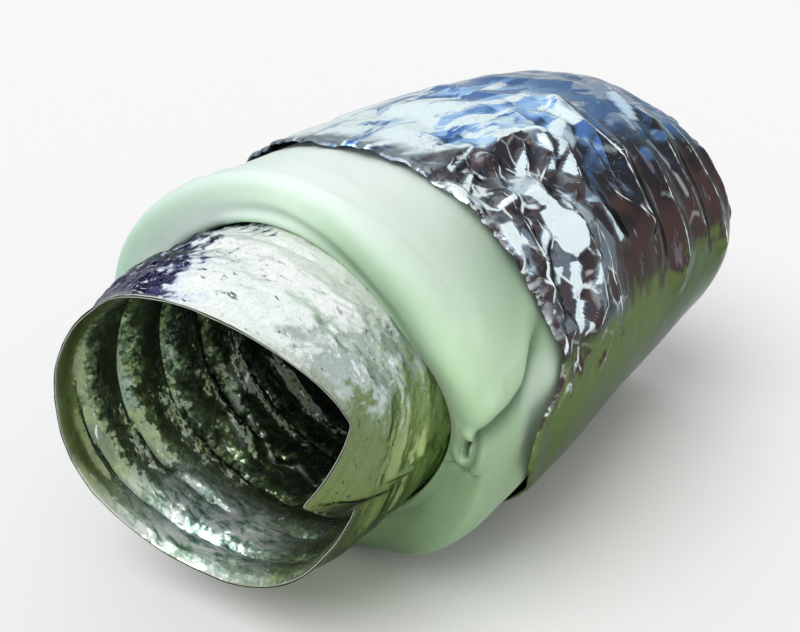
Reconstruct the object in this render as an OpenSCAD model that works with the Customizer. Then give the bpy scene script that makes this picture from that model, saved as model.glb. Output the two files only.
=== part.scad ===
// Insulated flexible air duct, a short length with one end opened for connection.
// The core is two films with a spring wire helix between them.
// A fibre blanket is wrapped round the core, and a loose film jacket covers the blanket.
// The mouth is at the origin and faces +X, so the duct runs back along -X. Z is up.

/* [Air core] */
// Inside diameter of the core, which slides over a round spigot
bore_d = 153; // [80:1:320]
// Length of the core from its mouth to its far end
core_len = 330; // [240:1:1200]
// Smooth film at each end, between the cut edge and the first turn of wire
cuff_len = 22; // [8:1:40]
// Thickness of each film of the core
film_t = 0.4; // [0.3:0.05:1]
// How far the inner film stands off the spigot between the two cuffs
bore_relief = 0.8; // [0.6:0.05:1.5]

/* [Spring wire] */
// Diameter of the wire
wire_d = 1.2; // [0.8:0.1:2.4]
// Distance from one turn of the wire to the next
wire_pitch = 22; // [12:1:45]
// Clearance between the wire and each film
wire_gap = 0.15; // [0.1:0.05:0.4]

/* [Fibre blanket] */
// Thickness of the blanket
blanket_t = 26; // [18:0.5:60]
// Bare core in front of the blanket, half way round its slanting front
blanket_setback = 66; // [40:1:120]
// Slant of the torn front of the blanket and of the jacket
front_slant = 7.5; // [0:0.5:10]
// Where the front is torn back furthest: this angle below the +Y side
slant_angle = 30; // [0:5:60]
// Rounding of the blanket's outer front edge
nose_r = 13; // [6:0.5:16]
// Rounding of the blanket's inner front edge
lip_r = 5; // [2:0.5:8]
// Width of the seam where the two edges of the wrapped blanket meet
seam_w = 5; // [2:0.5:8]
// Depth of that seam
seam_depth = 12; // [4:0.5:14]
// Angle of the seam, above the +Y side
seam_angle = 6; // [-40:1:40]

/* [Film jacket] */
// Bare blanket in front of the jacket
jacket_setback = 45; // [25:1:80]
// Thickness of the jacket film
jacket_t = 0.5; // [0.3:0.05:1]
// Height of the folds in the jacket
fold_h = 2.4; // [1:0.1:5]
// How far the loose jacket hangs out on the +Y side
side_bulge = 6.5; // [0:0.5:12]
// How far the top of the jacket is drawn in at the rear
rear_pinch = 15; // [0:0.5:20]
// Length over which it is drawn in
pinch_len = 130; // [60:5:140]
// Depth of the notches in the jacket's torn edges
edge_rag = 3; // [1:0.5:6]

/* [Fits] */
// Running gap between sleeves that slide over one another
slide_gap = 0.3; // [0.2:0.05:0.6]

/* [Hidden] */

// Facets of the exact round surfaces
round_fn = 96;
// A small overlap that keeps cuts clean
cut = 1;

// Points of the wire in one turn, and sides of its section
turn_n = 24;
wire_sides = 6;
// Share of a flat facet's corner radius that its middle keeps
turn_cos = cos(180 / turn_n);

// Inner film: the bore, its outside, and the outside where it is relieved
bore_r = bore_d / 2;
mid_r = bore_r + bore_relief;
inner_out_r = mid_r + film_t;

// Wire: centre radius, so that the middle of each straight step clears the inner film
wire_r = wire_d / 2;
helix_r = (inner_out_r + wire_gap + wire_r) / turn_cos;
helix_len = core_len - 2 * cuff_len;
helix_n = floor(turn_n * helix_len / wire_pitch);

// Outer film: its inside over the wire, and its inside half way between turns
crest_r = helix_r + wire_r + wire_gap;
valley_r = (inner_out_r + wire_gap) / turn_cos;
core_out_r = crest_r + film_t;

// Rows of the outer film, two to a turn: one on the wire and one between turns
row_first = -ceil(2 * (cuff_len / wire_pitch + 1));
row_last = ceil(2 * (core_len - cuff_len) / wire_pitch);

// Blanket and jacket: points round them, and the share of a corner's radius that a flat keeps
sleeve_n = 30;
sleeve_cos = cos(180 / sleeve_n);

// Blanket: its bore and its outside
blanket_in_r = core_out_r + slide_gap;
blanket_out_r = (blanket_in_r + blanket_t) / sleeve_cos;
nose_steps = 3;
blanket_rows = 6;
// How far the jacket can slide forward over the blanket, with some length to spare
jacket_travel = 40;
travel_slack = 10;
drawn_end = core_len - jacket_travel - travel_slack;
// Least height of the flat front face between the nose and the inner lip
least_face = 0.5;
// Angle from the seam's middle to its lips, and to the nearest corner that is kept beside it
seam_half = asin(seam_w / 2 / blanket_out_r);
seam_clear = 2 * seam_half;
// Lips between two corners lie this much lower, so that they stay below the flat of the jacket
seam_lip_drop = blanket_out_r * (1 - sleeve_cos);
// Share of the jacket's bulge that the blanket fills at its front
bulge_fill = 0.7;

// Jacket: its inside radius in the valleys of the folds
jacket_in_r = blanket_out_r + slide_gap / sleeve_cos;
jacket_front = blanket_setback + jacket_setback;
jacket_rows = 17;
// Middle and half width of the bulge at the front and, further round and narrower, at the rear
bulge_angle = 2;
bulge_half = 62;
bulge_shift = 22;
bulge_narrowing = 28;
// Share by which the bulge is less in the middle of the jacket than at its two ends
bulge_dip = 0.3;
// Where round the duct the rear is drawn in most, and the share of that everywhere else.
// At least this much blanket stays there.
pinch_angle = 125;
least_pinch = 0.25;
least_blanket = 8;
pinch = min(rear_pinch, blanket_t - least_blanket);
// Folds along the jacket at its gathered front, and wrinkles round it towards the rear
front_folds = 8;
rear_wrinkles = 3.3;
// Share of the jacket's length over which the front folds fade out
fold_fade = 0.55;
// The folds are pressed flat within this angle of the lowest line
flat_angle = 7;

function clamp(v, low, high) = max(low, min(high, v));
function ring_point(s, r, a) = [-s, r * cos(a), r * sin(a)];

// ---- spring wire ----

function helix_angle(k) = 360 * k / turn_n;
function helix_s(k) = cuff_len + wire_pitch * k / turn_n;
function helix_point(k) = ring_point(helix_s(k), helix_r, helix_angle(k));
helix_points = [for (k = [0 : helix_n]) helix_point(k)];

// One section of the wire: its corners in the radial and lengthwise directions
function wire_section(k) = [
    for (j = [0 : wire_sides - 1])
        let (a = 360 * j / wire_sides)
        ring_point(helix_s(k) + wire_r * sin(a), helix_r + wire_r * cos(a), helix_angle(k))
];

// The wire is one unbroken tube. Its least gap to itself is measured on its points.
least_gap = min([
    for (k = [0 : helix_n - turn_n / 2])
        for (m = [k + turn_n / 2 : min(helix_n, k + turn_n + turn_n / 2)])
            norm(helix_points[m] - helix_points[k])
]) - wire_d;
echo(least_gap_of_wire_to_itself_mm = least_gap);

module wire_helix() {
    last = helix_n * wire_sides;
    side_faces = [
        for (k = [0 : helix_n - 1])
            for (j = [0 : wire_sides - 1])
                let (
                    a = k * wire_sides + j,
                    b = k * wire_sides + (j + 1) % wire_sides,
                    c = a + wire_sides,
                    d = b + wire_sides
                )
                each [[a, b, d], [a, d, c]]
    ];
    start_faces = [for (j = [1 : wire_sides - 2]) [0, j + 1, j]];
    end_faces = [for (j = [1 : wire_sides - 2]) [last, last + j, last + j + 1]];
    color([0.62, 0.64, 0.66])
        polyhedron(
            points = [for (k = [0 : helix_n]) each wire_section(k)],
            faces = concat(side_faces, start_faces, end_faces)
        );
}

// ---- inner film ----

module inner_ply() {
    color([0.45, 0.52, 0.38])
        rotate([0, -90, 0])
            rotate_extrude($fn = round_fn)
                polygon([
                    [bore_r, 0],
                    [inner_out_r, 0],
                    [inner_out_r, core_len],
                    [bore_r, core_len],
                    [bore_r, core_len - cuff_len],
                    [mid_r, core_len - cuff_len - bore_relief],
                    [mid_r, cuff_len + bore_relief],
                    [bore_r, cuff_len]
                ]);
}

// ---- outer film ----

// The film's rows follow the wire round, so that every even row lies on it.
function row_s(row, i) = cuff_len + wire_pitch * (row / 2 + i / turn_n);
function on_wire(row, s) = row % 2 == 0 && s >= cuff_len && s <= helix_s(helix_n);
function ply_point(row, i, out) =
    let (
        s = row_s(row, i),
        r = (on_wire(row, s) ? crest_r : valley_r) + out
    )
    ring_point(clamp(s, 0, core_len), r, 360 * i / turn_n);

// Points past an end share that end's ring, which is cut square.
function ply_index(row, i) =
    i == turn_n ? ply_index(row + 2, 0)
    : row_s(row, i) <= 0 ? i
    : row_s(row, i) >= core_len ? turn_n + i
    : 2 * turn_n + (row - row_first) * turn_n + i;

function ply_skin(out) = concat(
    [for (i = [0 : turn_n - 1]) ring_point(0, valley_r + out, 360 * i / turn_n)],
    [for (i = [0 : turn_n - 1]) ring_point(core_len, valley_r + out, 360 * i / turn_n)],
    [for (row = [row_first : row_last]) for (i = [0 : turn_n - 1]) ply_point(row, i, out)]
);

function is_real(face) = face[0] != face[1] && face[1] != face[2] && face[2] != face[0];
function flipped(face) = [face[2], face[1], face[0]];
function shifted(face, by) = [for (v = face) v + by];

module outer_ply() {
    outside = ply_skin(film_t);
    count = len(outside);
    skin = [
        for (row = [row_first : row_last - 1])
            for (i = [0 : turn_n - 1])
                let (
                    a = ply_index(row, i),
                    b = ply_index(row, i + 1),
                    c = ply_index(row + 1, i),
                    d = ply_index(row + 1, i + 1)
                )
                for (face = [[a, b, d], [a, d, c]])
                    if (is_real(face)) face
    ];
    front_edge = [
        for (i = [0 : turn_n - 1])
            let (j = (i + 1) % turn_n)
            each [[i, count + j, j], [i, count + i, count + j]]
    ];
    rear_edge = [
        for (i = [0 : turn_n - 1])
            let (
                a = turn_n + i,
                b = turn_n + (i + 1) % turn_n
            )
            each [[a, b, count + b], [a, count + b, count + a]]
    ];
    color([0.80, 0.84, 0.82])
        polyhedron(
            points = concat(outside, ply_skin(0)),
            faces = concat(
                skin,
                [for (face = skin) shifted(flipped(face), count)],
                front_edge,
                rear_edge
            )
        );
}

// ---- the outline that the blanket and the jacket share ----

// A facet, and not a corner, is lowest, so the jacket lies flat on it.
function sleeve_angle(i) = 360 * (i + 0.5) / sleeve_n - 90;
function turn_between(a, b) = let (d = (a - b) % 360) d > 180 ? d - 360 : d < -180 ? d + 360 : d;
function on_floor(a) = abs(turn_between(a, -90)) < flat_angle;
function share(v, from, length) = clamp((v - from) / length, 0, 1);

// How much further back than half way round a torn front lies at angle a
function slant(a) = tan(front_slant) * blanket_out_r * cos(a + slant_angle);

// How far the loose jacket stands out, and how far the rear is drawn in
function bulge(s, a) =
    let (
        rear = share(s, jacket_front, core_len - jacket_front),
        middle = bulge_angle + bulge_shift * rear,
        half = bulge_half - bulge_narrowing * rear
    )
    side_bulge * (1 - bulge_dip * sin(180 * rear)) * exp(-pow(turn_between(a, middle) / half, 2));
function drawn_in(s, a) =
    pinch
    * pow(share(s, core_len - pinch_len, pinch_len), 1.5)
    * max(least_pinch, share(0.5 + 0.5 * cos(a - pinch_angle), 0.1, 0.9));

// ---- fibre blanket ----

// The blanket is drawn in as far as the jacket over it is after sliding all the way forward.
function blanket_r(s, a) =
    blanket_out_r
    + (on_floor(a) ? 0 : bulge_fill * bulge(0, a) * (1 - share(s, blanket_setback, jacket_front)))
    - drawn_in(s + jacket_travel + travel_slack, a);

// One section from the inner front edge over the nose to the rear, as [s, r]. The bore is cut later.
function blanket_section(a, lowered) =
    let (
        front = blanket_setback + slant(a),
        shoulder = front + nose_r,
        out_r = blanket_r(shoulder, a) - lowered,
        nose = min(nose_r, out_r - blanket_in_r - lip_r - least_face)
    )
    concat(
        [
            [front + 2 * lip_r, blanket_in_r - cut],
            [front + lip_r / 3, blanket_in_r + lip_r / 3],
            [front, blanket_in_r + lip_r]
        ],
        [
            for (k = [0 : nose_steps])
                let (t = 90 * k / nose_steps)
                [shoulder - nose_r * cos(t), out_r - nose * (1 - sin(t))]
        ],
        [
            for (k = [1 : blanket_rows])
                let (s = shoulder + (drawn_end - shoulder) * k / blanket_rows)
                [s, blanket_r(s, a) - lowered]
        ],
        [[core_len, blanket_r(core_len, a) - lowered], [core_len, blanket_in_r - cut]]
    );

// Columns of points round the blanket, each with how far it is lowered. The seam takes three.
seam_columns = [
    [seam_angle - seam_half, seam_lip_drop],
    [seam_angle, seam_depth],
    [seam_angle + seam_half, seam_lip_drop]
];
blanket_columns = concat(
    [for (i = [0 : sleeve_n - 1]) if (sleeve_angle(i) < seam_angle - seam_clear) [sleeve_angle(i), 0]],
    seam_columns,
    [for (i = [0 : sleeve_n - 1]) if (sleeve_angle(i) > seam_angle + seam_clear) [sleeve_angle(i), 0]]
);

module blanket_body() {
    sections = [for (column = blanket_columns) blanket_section(column[0], column[1])];
    columns = len(sections);
    n = len(sections[0]);
    polyhedron(
        points = [
            for (j = [0 : columns - 1])
                for (p = sections[j])
                    ring_point(p[0], p[1], blanket_columns[j][0])
        ],
        faces = [
            for (j = [0 : columns - 1])
                for (k = [0 : n - 1])
                    let (
                        a = j * n + k,
                        b = (j + 1) % columns * n + k,
                        c = j * n + (k + 1) % n,
                        d = (j + 1) % columns * n + (k + 1) % n
                    )
                    each [[a, b, d], [a, d, c]]
        ]
    );
}

module insulation_blanket() {
    color([0.80, 0.89, 0.80])
        difference() {
            blanket_body();
            rotate([0, -90, 0])
                cylinder(r = blanket_in_r, h = core_len + cut, $fn = round_fn);
        }
}

// ---- film jacket ----

function jacket_fold(u, a) =
    let (
        front = 0.5 + 0.5 * sin(front_folds * a + 260 * u),
        rear = 0.5 + 0.5 * sin(360 * rear_wrinkles * u + 2 * a),
        mix = clamp(1 - u / fold_fade, 0, 1)
    )
    front * mix + rear * (1 - mix);
function jacket_start(a) = jacket_front + slant(a) + edge_rag * (0.5 + 0.5 * sin(5 * a));
function jacket_end(a) = core_len - edge_rag * (0.5 + 0.5 * sin(4 * a + 40));
// Rows stand closer together at the gathered front
function row_share(k) = pow(k / jacket_rows, 1.15);
function jacket_point(k, i, out) =
    let (
        u = row_share(k),
        a = sleeve_angle(i),
        s = jacket_start(a) + (jacket_end(a) - jacket_start(a)) * u,
        loose = on_floor(a) ? 0 : bulge(s, a) + fold_h * jacket_fold(u, a)
    )
    ring_point(s, jacket_in_r + loose - drawn_in(s, a) + out, a);
function jacket_skin(out) = [
    for (k = [0 : jacket_rows]) for (i = [0 : sleeve_n - 1]) jacket_point(k, i, out)
];

module jacket() {
    count = (jacket_rows + 1) * sleeve_n;
    skin = [
        for (k = [0 : jacket_rows - 1])
            for (i = [0 : sleeve_n - 1])
                let (
                    a = k * sleeve_n + i,
                    b = k * sleeve_n + (i + 1) % sleeve_n,
                    c = a + sleeve_n,
                    d = b + sleeve_n
                )
                each [[a, b, d], [a, d, c]]
    ];
    front_edge = [
        for (i = [0 : sleeve_n - 1])
            let (j = (i + 1) % sleeve_n)
            each [[i, count + j, j], [i, count + i, count + j]]
    ];
    rear_edge = [
        for (i = [0 : sleeve_n - 1])
            let (
                a = jacket_rows * sleeve_n + i,
                b = jacket_rows * sleeve_n + (i + 1) % sleeve_n
            )
            each [[a, b, count + b], [a, count + b, count + a]]
    ];
    color([0.66, 0.70, 0.78])
        polyhedron(
            points = concat(jacket_skin(jacket_t), jacket_skin(0)),
            faces = concat(
                skin,
                [for (face = skin) shifted(flipped(face), count)],
                front_edge,
                rear_edge
            )
        );
}

inner_ply();
wire_helix();
outer_ply();
insulation_blanket();
jacket();
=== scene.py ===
# %% [markdown]
# # An insulated flexible air duct
#
# A flexible duct has three layers. The core is a tube of metallised film with a spring wire
# wound inside its wall. A thick fibre blanket is wrapped round the core, and a loose film jacket
# covers the blanket. Here the layers are pushed back in steps, so that each one shows.
#
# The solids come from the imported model. They give every piece its place and its size, and the
# pieces made here ride on them and take over their looks.

import math

import bpy
import numpy as np
from mathutils import Matrix, Vector


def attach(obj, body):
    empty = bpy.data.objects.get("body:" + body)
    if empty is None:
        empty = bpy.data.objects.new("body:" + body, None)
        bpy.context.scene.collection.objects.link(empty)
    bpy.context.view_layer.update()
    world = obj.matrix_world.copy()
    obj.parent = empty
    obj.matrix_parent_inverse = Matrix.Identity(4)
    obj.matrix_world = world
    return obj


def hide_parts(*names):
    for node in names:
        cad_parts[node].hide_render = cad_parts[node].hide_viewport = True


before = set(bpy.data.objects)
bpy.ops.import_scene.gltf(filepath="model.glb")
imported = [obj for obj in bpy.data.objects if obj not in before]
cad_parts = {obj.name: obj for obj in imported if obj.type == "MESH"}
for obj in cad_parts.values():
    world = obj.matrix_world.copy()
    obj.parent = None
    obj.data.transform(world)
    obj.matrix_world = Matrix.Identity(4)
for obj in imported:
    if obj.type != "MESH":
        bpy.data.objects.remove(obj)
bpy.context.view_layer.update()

# %% [markdown]
# ## Camera
#
# The duct lies along -X with its mouth at the origin. The camera stands in front of the mouth,
# a little over half a metre from the middle of the duct, above it and to its +Y side. Building
# the camera's axes by hand keeps its slight roll exact.

# %% Camera
MM = 0.001
DISTANCE = 0.55
IMAGE_WIDTH = 800  # pixels
IMAGE_HEIGHT = 632  # pixels
FOCAL_LENGTH = 1012.35  # pixels
SENSOR = 36.0  # millimetres

camera_data = bpy.data.cameras.new("camera")
camera = bpy.data.objects.new("camera", camera_data)
bpy.context.scene.collection.objects.link(camera)
bpy.context.scene.camera = camera

aim = Vector((-150.0, 2.16, -1.05)) * MM
azimuth = math.radians(36.88)
elevation = math.radians(29.52)
roll = math.radians(1.05)
toward_camera = Vector(
    (
        math.cos(azimuth) * math.cos(elevation),
        math.sin(azimuth) * math.cos(elevation),
        math.sin(elevation),
    )
)
level_right = Vector((0, 0, 1)).cross(toward_camera).normalized()
level_up = toward_camera.cross(level_right)
right = level_right * math.cos(roll) + level_up * math.sin(roll)
up = level_up * math.cos(roll) - level_right * math.sin(roll)
turn = Matrix((right, up, toward_camera)).transposed().to_4x4()
camera.matrix_world = Matrix.Translation(aim + toward_camera * DISTANCE) @ turn
camera_data.sensor_width = SENSOR
camera_data.lens = FOCAL_LENGTH / IMAGE_WIDTH * SENSOR
camera_data.clip_start = 0.01
print("camera at", [round(c, 3) for c in camera.matrix_world.translation])

# %% [markdown]
# ## Describing soft shapes round an axis
#
# Film and fibre have no straight edges to measure, so their shapes are written as short tables
# of an angle and a size in millimetres. Angle 0 is the +Y side, 90 is the top and 180 the -Y
# side. A table is read with a little blur, which rounds its corners, and it closes on itself.
#
# In the code, s is a distance back from the mouth along the duct, t a distance behind the core's
# own bent edge and r a radius, all in millimetres.

# %% Tables round the duct
def round_table(pairs, blur=4.0):
    """A size at each half degree, from a few (angle, size) pairs round the duct."""
    pairs = sorted(pairs)
    fine = np.arange(720) * 0.5
    level = np.interp(fine, [p[0] for p in pairs], [p[1] for p in pairs], period=360)
    if blur > 0:
        offsets = np.arange(-120, 121)
        weight = np.exp(-((offsets * 0.5 / blur) ** 2))
        level = sum(w * np.roll(level, o) for o, w in zip(offsets, weight)) / weight.sum()
    return level


def read(level, degrees):
    return np.interp(degrees, np.arange(720) * 0.5, level, period=360)


def table(pairs, degrees, blur=4.0):
    return read(round_table(pairs, blur), degrees)


def signed(degrees):
    """The same angle, written from -180 to 180."""
    return np.mod(degrees + 180, 360) - 180


def ease(x):
    """0 below 0, 1 above 1, and a smooth step between."""
    x = np.clip(x, 0.0, 1.0)
    return x * x * (3 - 2 * x)


def hump(x, middle, width):
    """1 at the middle, fading away on both sides."""
    return np.exp(-(((x - middle) / width) ** 2))


print("from 0 on one side to 10 on the other, a table reads", table([(0, 0), (180, 10)], 90.0, 0), "on top")


# %% [markdown]
# ## Crumpled film
#
# Thin film doesn't ripple when it is crushed: it breaks into nearly flat facets that meet in
# straight, sharp creases. Points are scattered round the duct, each with its own height and
# slope, and every place belongs to the point whose shallow bowl lies lowest there. Two such
# bowls always meet in a straight line, so this gives facets with straight creases between them.
# The pattern closes on itself round the duct.

# %% Noise and facets
def chance(i, j, seed, count):
    """A repeatable number from 0 to 1 for each corner of a lattice, count corners round."""
    n = np.sin(np.mod(i, count) * 127.1 + j * 311.7 + seed * 74.7) * 43758.5453
    return n - np.floor(n)


def soft_noise(u, v, seed, count):
    """Rolling noise from -0.5 to 0.5."""
    i = np.floor(u)
    j = np.floor(v)
    a, b, c, d = [chance(i + p, j + q, seed, count) for p, q in ((0, 0), (1, 0), (0, 1), (1, 1))]
    x = ease(u - i)
    y = ease(v - j)
    return a + (b - a) * x + (c - a) * y + (a - b - c + d) * x * y - 0.5


BOWL = 0.35
SLOPE = 1.1


def facet_pattern(u, v, seed, count):
    """Facet height from about -1 to 1, and how far each place lies from a crease, in cells."""
    i = np.floor(u)
    j = np.floor(v)
    first = np.full(u.shape, np.inf)
    second = np.full(u.shape, np.inf)
    for p in (-2, -1, 0, 1, 2):
        for q in (-2, -1, 0, 1, 2):
            x = u - (i + p + 0.1 + 0.8 * chance(i + p, j + q, seed, count))
            y = v - (j + q + 0.1 + 0.8 * chance(i + p, j + q, seed + 1, count))
            lean_x = SLOPE * (chance(i + p, j + q, seed + 2, count) - 0.5)
            lean_y = SLOPE * (chance(i + p, j + q, seed + 3, count) - 0.5)
            start = 0.5 * (chance(i + p, j + q, seed + 4, count) - 0.5)
            level = start + lean_x * x + lean_y * y + BOWL * (x * x + y * y)
            second = np.minimum(second, np.maximum(first, level))
            first = np.minimum(first, level)
    return first * 1.6, (second - first) / (2 * BOWL + 0.4 * SLOPE)


FINER = 2.3  # each layer of facets is this many times finer than the one before


def crushed_film(angle, s, seed, count, length, layers, fade):
    """Facets of several sizes, and a mark that is 1 on a crease. Count facets go round."""
    height = np.zeros_like(angle)
    crease = np.zeros_like(angle)
    for k in range(layers):
        n = int(count * FINER**k)
        level, away = facet_pattern(angle / 360.0 * n, s / length * FINER**k, seed + 10 * k, n)
        height = height + (-1) ** k * fade**k * level
        crease = np.maximum(crease, (0.75**k) * np.exp(-((away * length / FINER**k) ** 2)))
    return height, crease


print("facets of 24 mm get a second layer of", round(24 / FINER, 1), "mm")


# %% [markdown]
# Some creases run far across the film, and the eye follows them. They are drawn as lines of
# (distance back, angle) points. Beside a line the film rises like the sides of a tent.

# %% Long creases
def line_distance(s, angle, points, radius=110.0):
    """How far each place lies from a line in millimetres, and the same with a minus on one side."""
    around = np.radians(angle) * radius
    nearest = np.full(s.shape, np.inf)
    sided = np.full(s.shape, np.inf)
    for (s0, a0), (s1, a1) in zip(points, points[1:]):
        y0 = math.radians(a0) * radius
        dx = s1 - s0
        dy = (math.radians(a1) * radius) - y0
        along = np.clip(((s - s0) * dx + (around - y0) * dy) / (dx * dx + dy * dy), 0, 1)
        away = np.hypot(s - s0 - along * dx, around - y0 - along * dy)
        side = np.sign((s - s0) * dy - (around - y0) * dx)
        sided = np.where(away < nearest, away * side, sided)
        nearest = np.minimum(nearest, away)
    return nearest, sided


def tent(distance, width):
    return np.clip(1 - distance / width, 0, 1)


def inside_facet(s, angle, corners, radius=112.0):
    """How far each place lies inside a straight-sided facet, in millimetres."""
    corners = np.array([(s0, math.radians(a0) * radius) for s0, a0 in corners])
    middle = corners.mean(axis=0)
    around = np.radians(angle) * radius
    inside = np.full(s.shape, np.inf)
    for start, end in zip(corners, np.roll(corners, -1, axis=0)):
        outward = np.array([end[1] - start[1], start[0] - end[0]])
        outward *= np.sign((start - middle) @ outward) / np.linalg.norm(outward)
        inside = np.minimum(inside, (start[0] - s) * outward[0] + (start[1] - around) * outward[1])
    return inside


# %% [markdown]
# ## Rolling a sheet into a tube
#
# Every film here starts as a flat grid, as the real one starts as a strip. The grid's own UVs
# say how far each point lies round the duct and along it. Its corners are moved to their places,
# the two long edges are merged, and Solidify gives the film its thickness.

# %% Sheet helpers
def only(piece):
    """Make piece the one active, selected object."""
    bpy.ops.object.select_all(action="DESELECT")
    bpy.context.view_layer.objects.active = piece
    piece.select_set(True)


def flat_grid(name, across, rows):
    """A flat grid, and how far each of its corners lies across it and along it, from 0 to 1."""
    bpy.ops.object.select_all(action="DESELECT")
    bpy.ops.mesh.primitive_grid_add(x_subdivisions=across, y_subdivisions=rows, size=2)
    sheet = bpy.context.object
    sheet.name = name
    sheet.data.name = name
    co = np.empty(len(sheet.data.vertices) * 3)
    sheet.data.vertices.foreach_get("co", co)
    co = co.reshape(-1, 3)
    return sheet, (co[:, 0] + 1) / 2, (co[:, 1] + 1) / 2


def put(piece, points):
    """Move every corner of the piece. The points are in millimetres."""
    piece.data.vertices.foreach_set("co", (np.asarray(points) * MM).ravel())
    piece.data.update()


def note(piece, **marks):
    """Keep numbers at each corner, under their names, for the materials to read."""
    for name, values in marks.items():
        layer = piece.data.attributes.new(name, "FLOAT", "POINT")
        layer.data.foreach_set("value", np.asarray(values, dtype=np.float32))


def roll_up(piece):
    """Merge the edges that meet."""
    only(piece)
    bpy.ops.object.mode_set(mode="EDIT")
    bpy.ops.mesh.select_all(action="SELECT")
    bpy.ops.mesh.remove_doubles(threshold=1e-6)
    bpy.ops.object.mode_set(mode="OBJECT")


def thicken(piece, thickness):
    """Give a film its thickness in millimetres, inwards."""
    only(piece)
    wall = piece.modifiers.new("wall", "SOLIDIFY")
    wall.thickness = thickness * MM
    wall.offset = -1
    bpy.ops.object.modifier_apply(modifier=wall.name)


def smooth(piece, sharp=24):
    """Shade the piece smooth, except where it turns by more degrees than sharp."""
    only(piece)
    bpy.ops.object.shade_smooth_by_angle(angle=math.radians(sharp))
    print(piece.name, len(piece.data.polygons), "faces")


# %% [markdown]
# ## The mouth of the core
#
# The open end of the core was pulled and bent, so its edge is not square to the duct. It reaches
# forward on the -Y side and back on the +Y side, it is pressed a little flat at the upper left,
# and on the right a tongue of film has folded inwards. Three tables hold this: how far forward
# the edge lies, its radius, and how deep the tongue leans in. All of it fades out behind the
# mouth, where the core becomes the straight round tube of the solid. Beside the tongue the fold
# leaves a narrow gap, which gets a painted shade.

# %% The bent mouth
EDGE_FORWARD = [
    (-178, 14.5), (-165, 16), (-154, 16), (-140, 14), (-127, 10), (-116, 6.5), (-105, 3.5),
    (-97, 1), (-88, -1), (-79, -2), (-64, -5), (-50, -7), (-40, -9), (-30, -12), (-22, -17),
    (-14, -21), (-9.5, -22.5), (-8, -22), (-6, -3), (-3, -3), (5, -11), (14, -20), (21, -25.5),
    (28, -22.5), (36, -18.5), (47, -11.5), (59, -4.5), (71, 2), (83, 7.5), (92, 11), (100, 13.5),
    (110, 12), (120, 11), (130, 10.5), (140, 10.5), (150, 10), (160, 10.5), (170, 12.5),
]
EDGE_RADIUS = [
    (-180, 77), (-150, 77.3), (-116, 77.5), (-60, 77.3), (-30, 76.8), (0, 77.2), (28, 77.2),
    (83, 77.2), (100, 76), (110, 73.5), (120, 71.5), (130, 70.8), (140, 71.5), (150, 73.5),
    (160, 75.8), (170, 77),
]
EDGE_PLAIN = 77.2
TONGUE = [(-60, 0), (-9, 0), (-7.5, 0), (-5.5, 12.5), (-3, 12), (5, 7.5), (14, 3), (21, 0), (60, 0)]
BEND_LENGTH = 100.0


def core_point(angle, t, radius):
    """A point of the core, t mm behind its edge along the film. The bend fades out with t."""
    bend = 0.5 * (1 + np.cos(np.pi * np.clip(t / BEND_LENGTH, 0, 1)))
    press = 1 - ease(t / 38.0)
    forward = table(EDGE_FORWARD, angle, blur=1.2)
    radius = radius + press * (table(EDGE_RADIUS, angle, blur=4) - EDGE_PLAIN)
    lean = table(TONGUE, angle, blur=0.7) * np.clip(1 - t / 26.0, 0, 1) ** 1.15
    radius = radius - lean
    a = np.radians(angle)
    x = forward * bend - t
    return np.stack([x, radius * np.cos(a), radius * np.sin(a)], axis=-1)


# Where the narrow gap beside the tongue gets a painted shade.
def gap_beside_tongue(angle, t):
    return hump(signed(angle), -7.2, 1.7) * (t < 22)


reaches = [forward for angle, forward in EDGE_FORWARD]
print("the core's edge lies from", min(reaches), "to", max(reaches), "mm forward")


# %% [markdown]
# ## Inner film
#
# The inner film shows the wire from inside: it is pulled out to the wire at each turn and
# puckers inwards between two turns, so sharp creases with a painted shade run round the tube as a
# screw, with broad facets between them. The last stretch before the edge has no wire and stays
# smooth.

# %% Turns of wire, and rows
PITCH = 22.0
CUFF = 22.0
CORE_LENGTH = 330.0
AROUND = 384  # columns round the core
ALONG = 118  # rows along it


def turns(angle, t):
    """How many turns of wire lie between the edge and this point."""
    return (t - CUFF) / PITCH - np.mod(angle, 360) / 360.0


def rows_to_length(v, dense, total, share):
    """Place rows so that a share of them lies in the first, dense stretch."""
    behind = dense + (v - share) / (1 - share) * (total - dense)
    return np.where(v < share, v / share * dense, behind)


print(round((CORE_LENGTH - 2 * CUFF) / PITCH, 1), "turns of wire")

# %% Inner film
# Sharp ridges where the film has been pushed in from below: (distance behind the edge, angle)
INNER_RIDGES = [
    [(34, -129), (37, -123), (39, -114), (38, -105), (36, -92), (37, -79)],
    [(84, -123), (76, -113), (75, -108), (84, -102), (80, -92)],
    [(87, -157), (87, -150), (87, -143)],
    [(73, -138), (71, -129), (68, -119)],
]
SMOOTH_LIP = [(-170, 1), (-150, 0.9), (-135, 0.3), (-60, 0.15), (-20, 0.6), (60, 1), (170, 1)]

inner_film, u, v = flat_grid("core_inner_film", AROUND, ALONG)
angle = 360.0 * (1 - u)
t = rows_to_length(v, 120.0, CORE_LENGTH, 0.72)
sway = 0.20 * soft_noise(angle / 360 * 9, t / 40.0, 7, 9)
pleat = np.abs(np.sin(np.pi * (turns(angle, t) + sway)))
behind_lip = 1 - table(SMOOTH_LIP, angle, 8) * (1 - ease((t - 8) / 5.0))
wrapped = signed(angle)
facets, fold = crushed_film(angle, t, 300, 17, 24.0, layers=3, fade=0.38)
ridge = np.zeros_like(angle)
ridge_rise = np.zeros_like(angle)
for points in INNER_RIDGES:
    away, side = line_distance(t, wrapped, points, 76.0)
    ridge = np.maximum(ridge, tent(away, 2.0))
    ridge_rise = np.maximum(ridge_rise, 2.4 * tent(np.sqrt(away * away + 0.6), 6.0))
pucker = 2.6 * pleat**0.75 + 2.0 * (0.5 - facets) * (0.35 + 0.65 * pleat)
radius = 76.9 - behind_lip * ease(t / 5.0) * pucker
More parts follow.
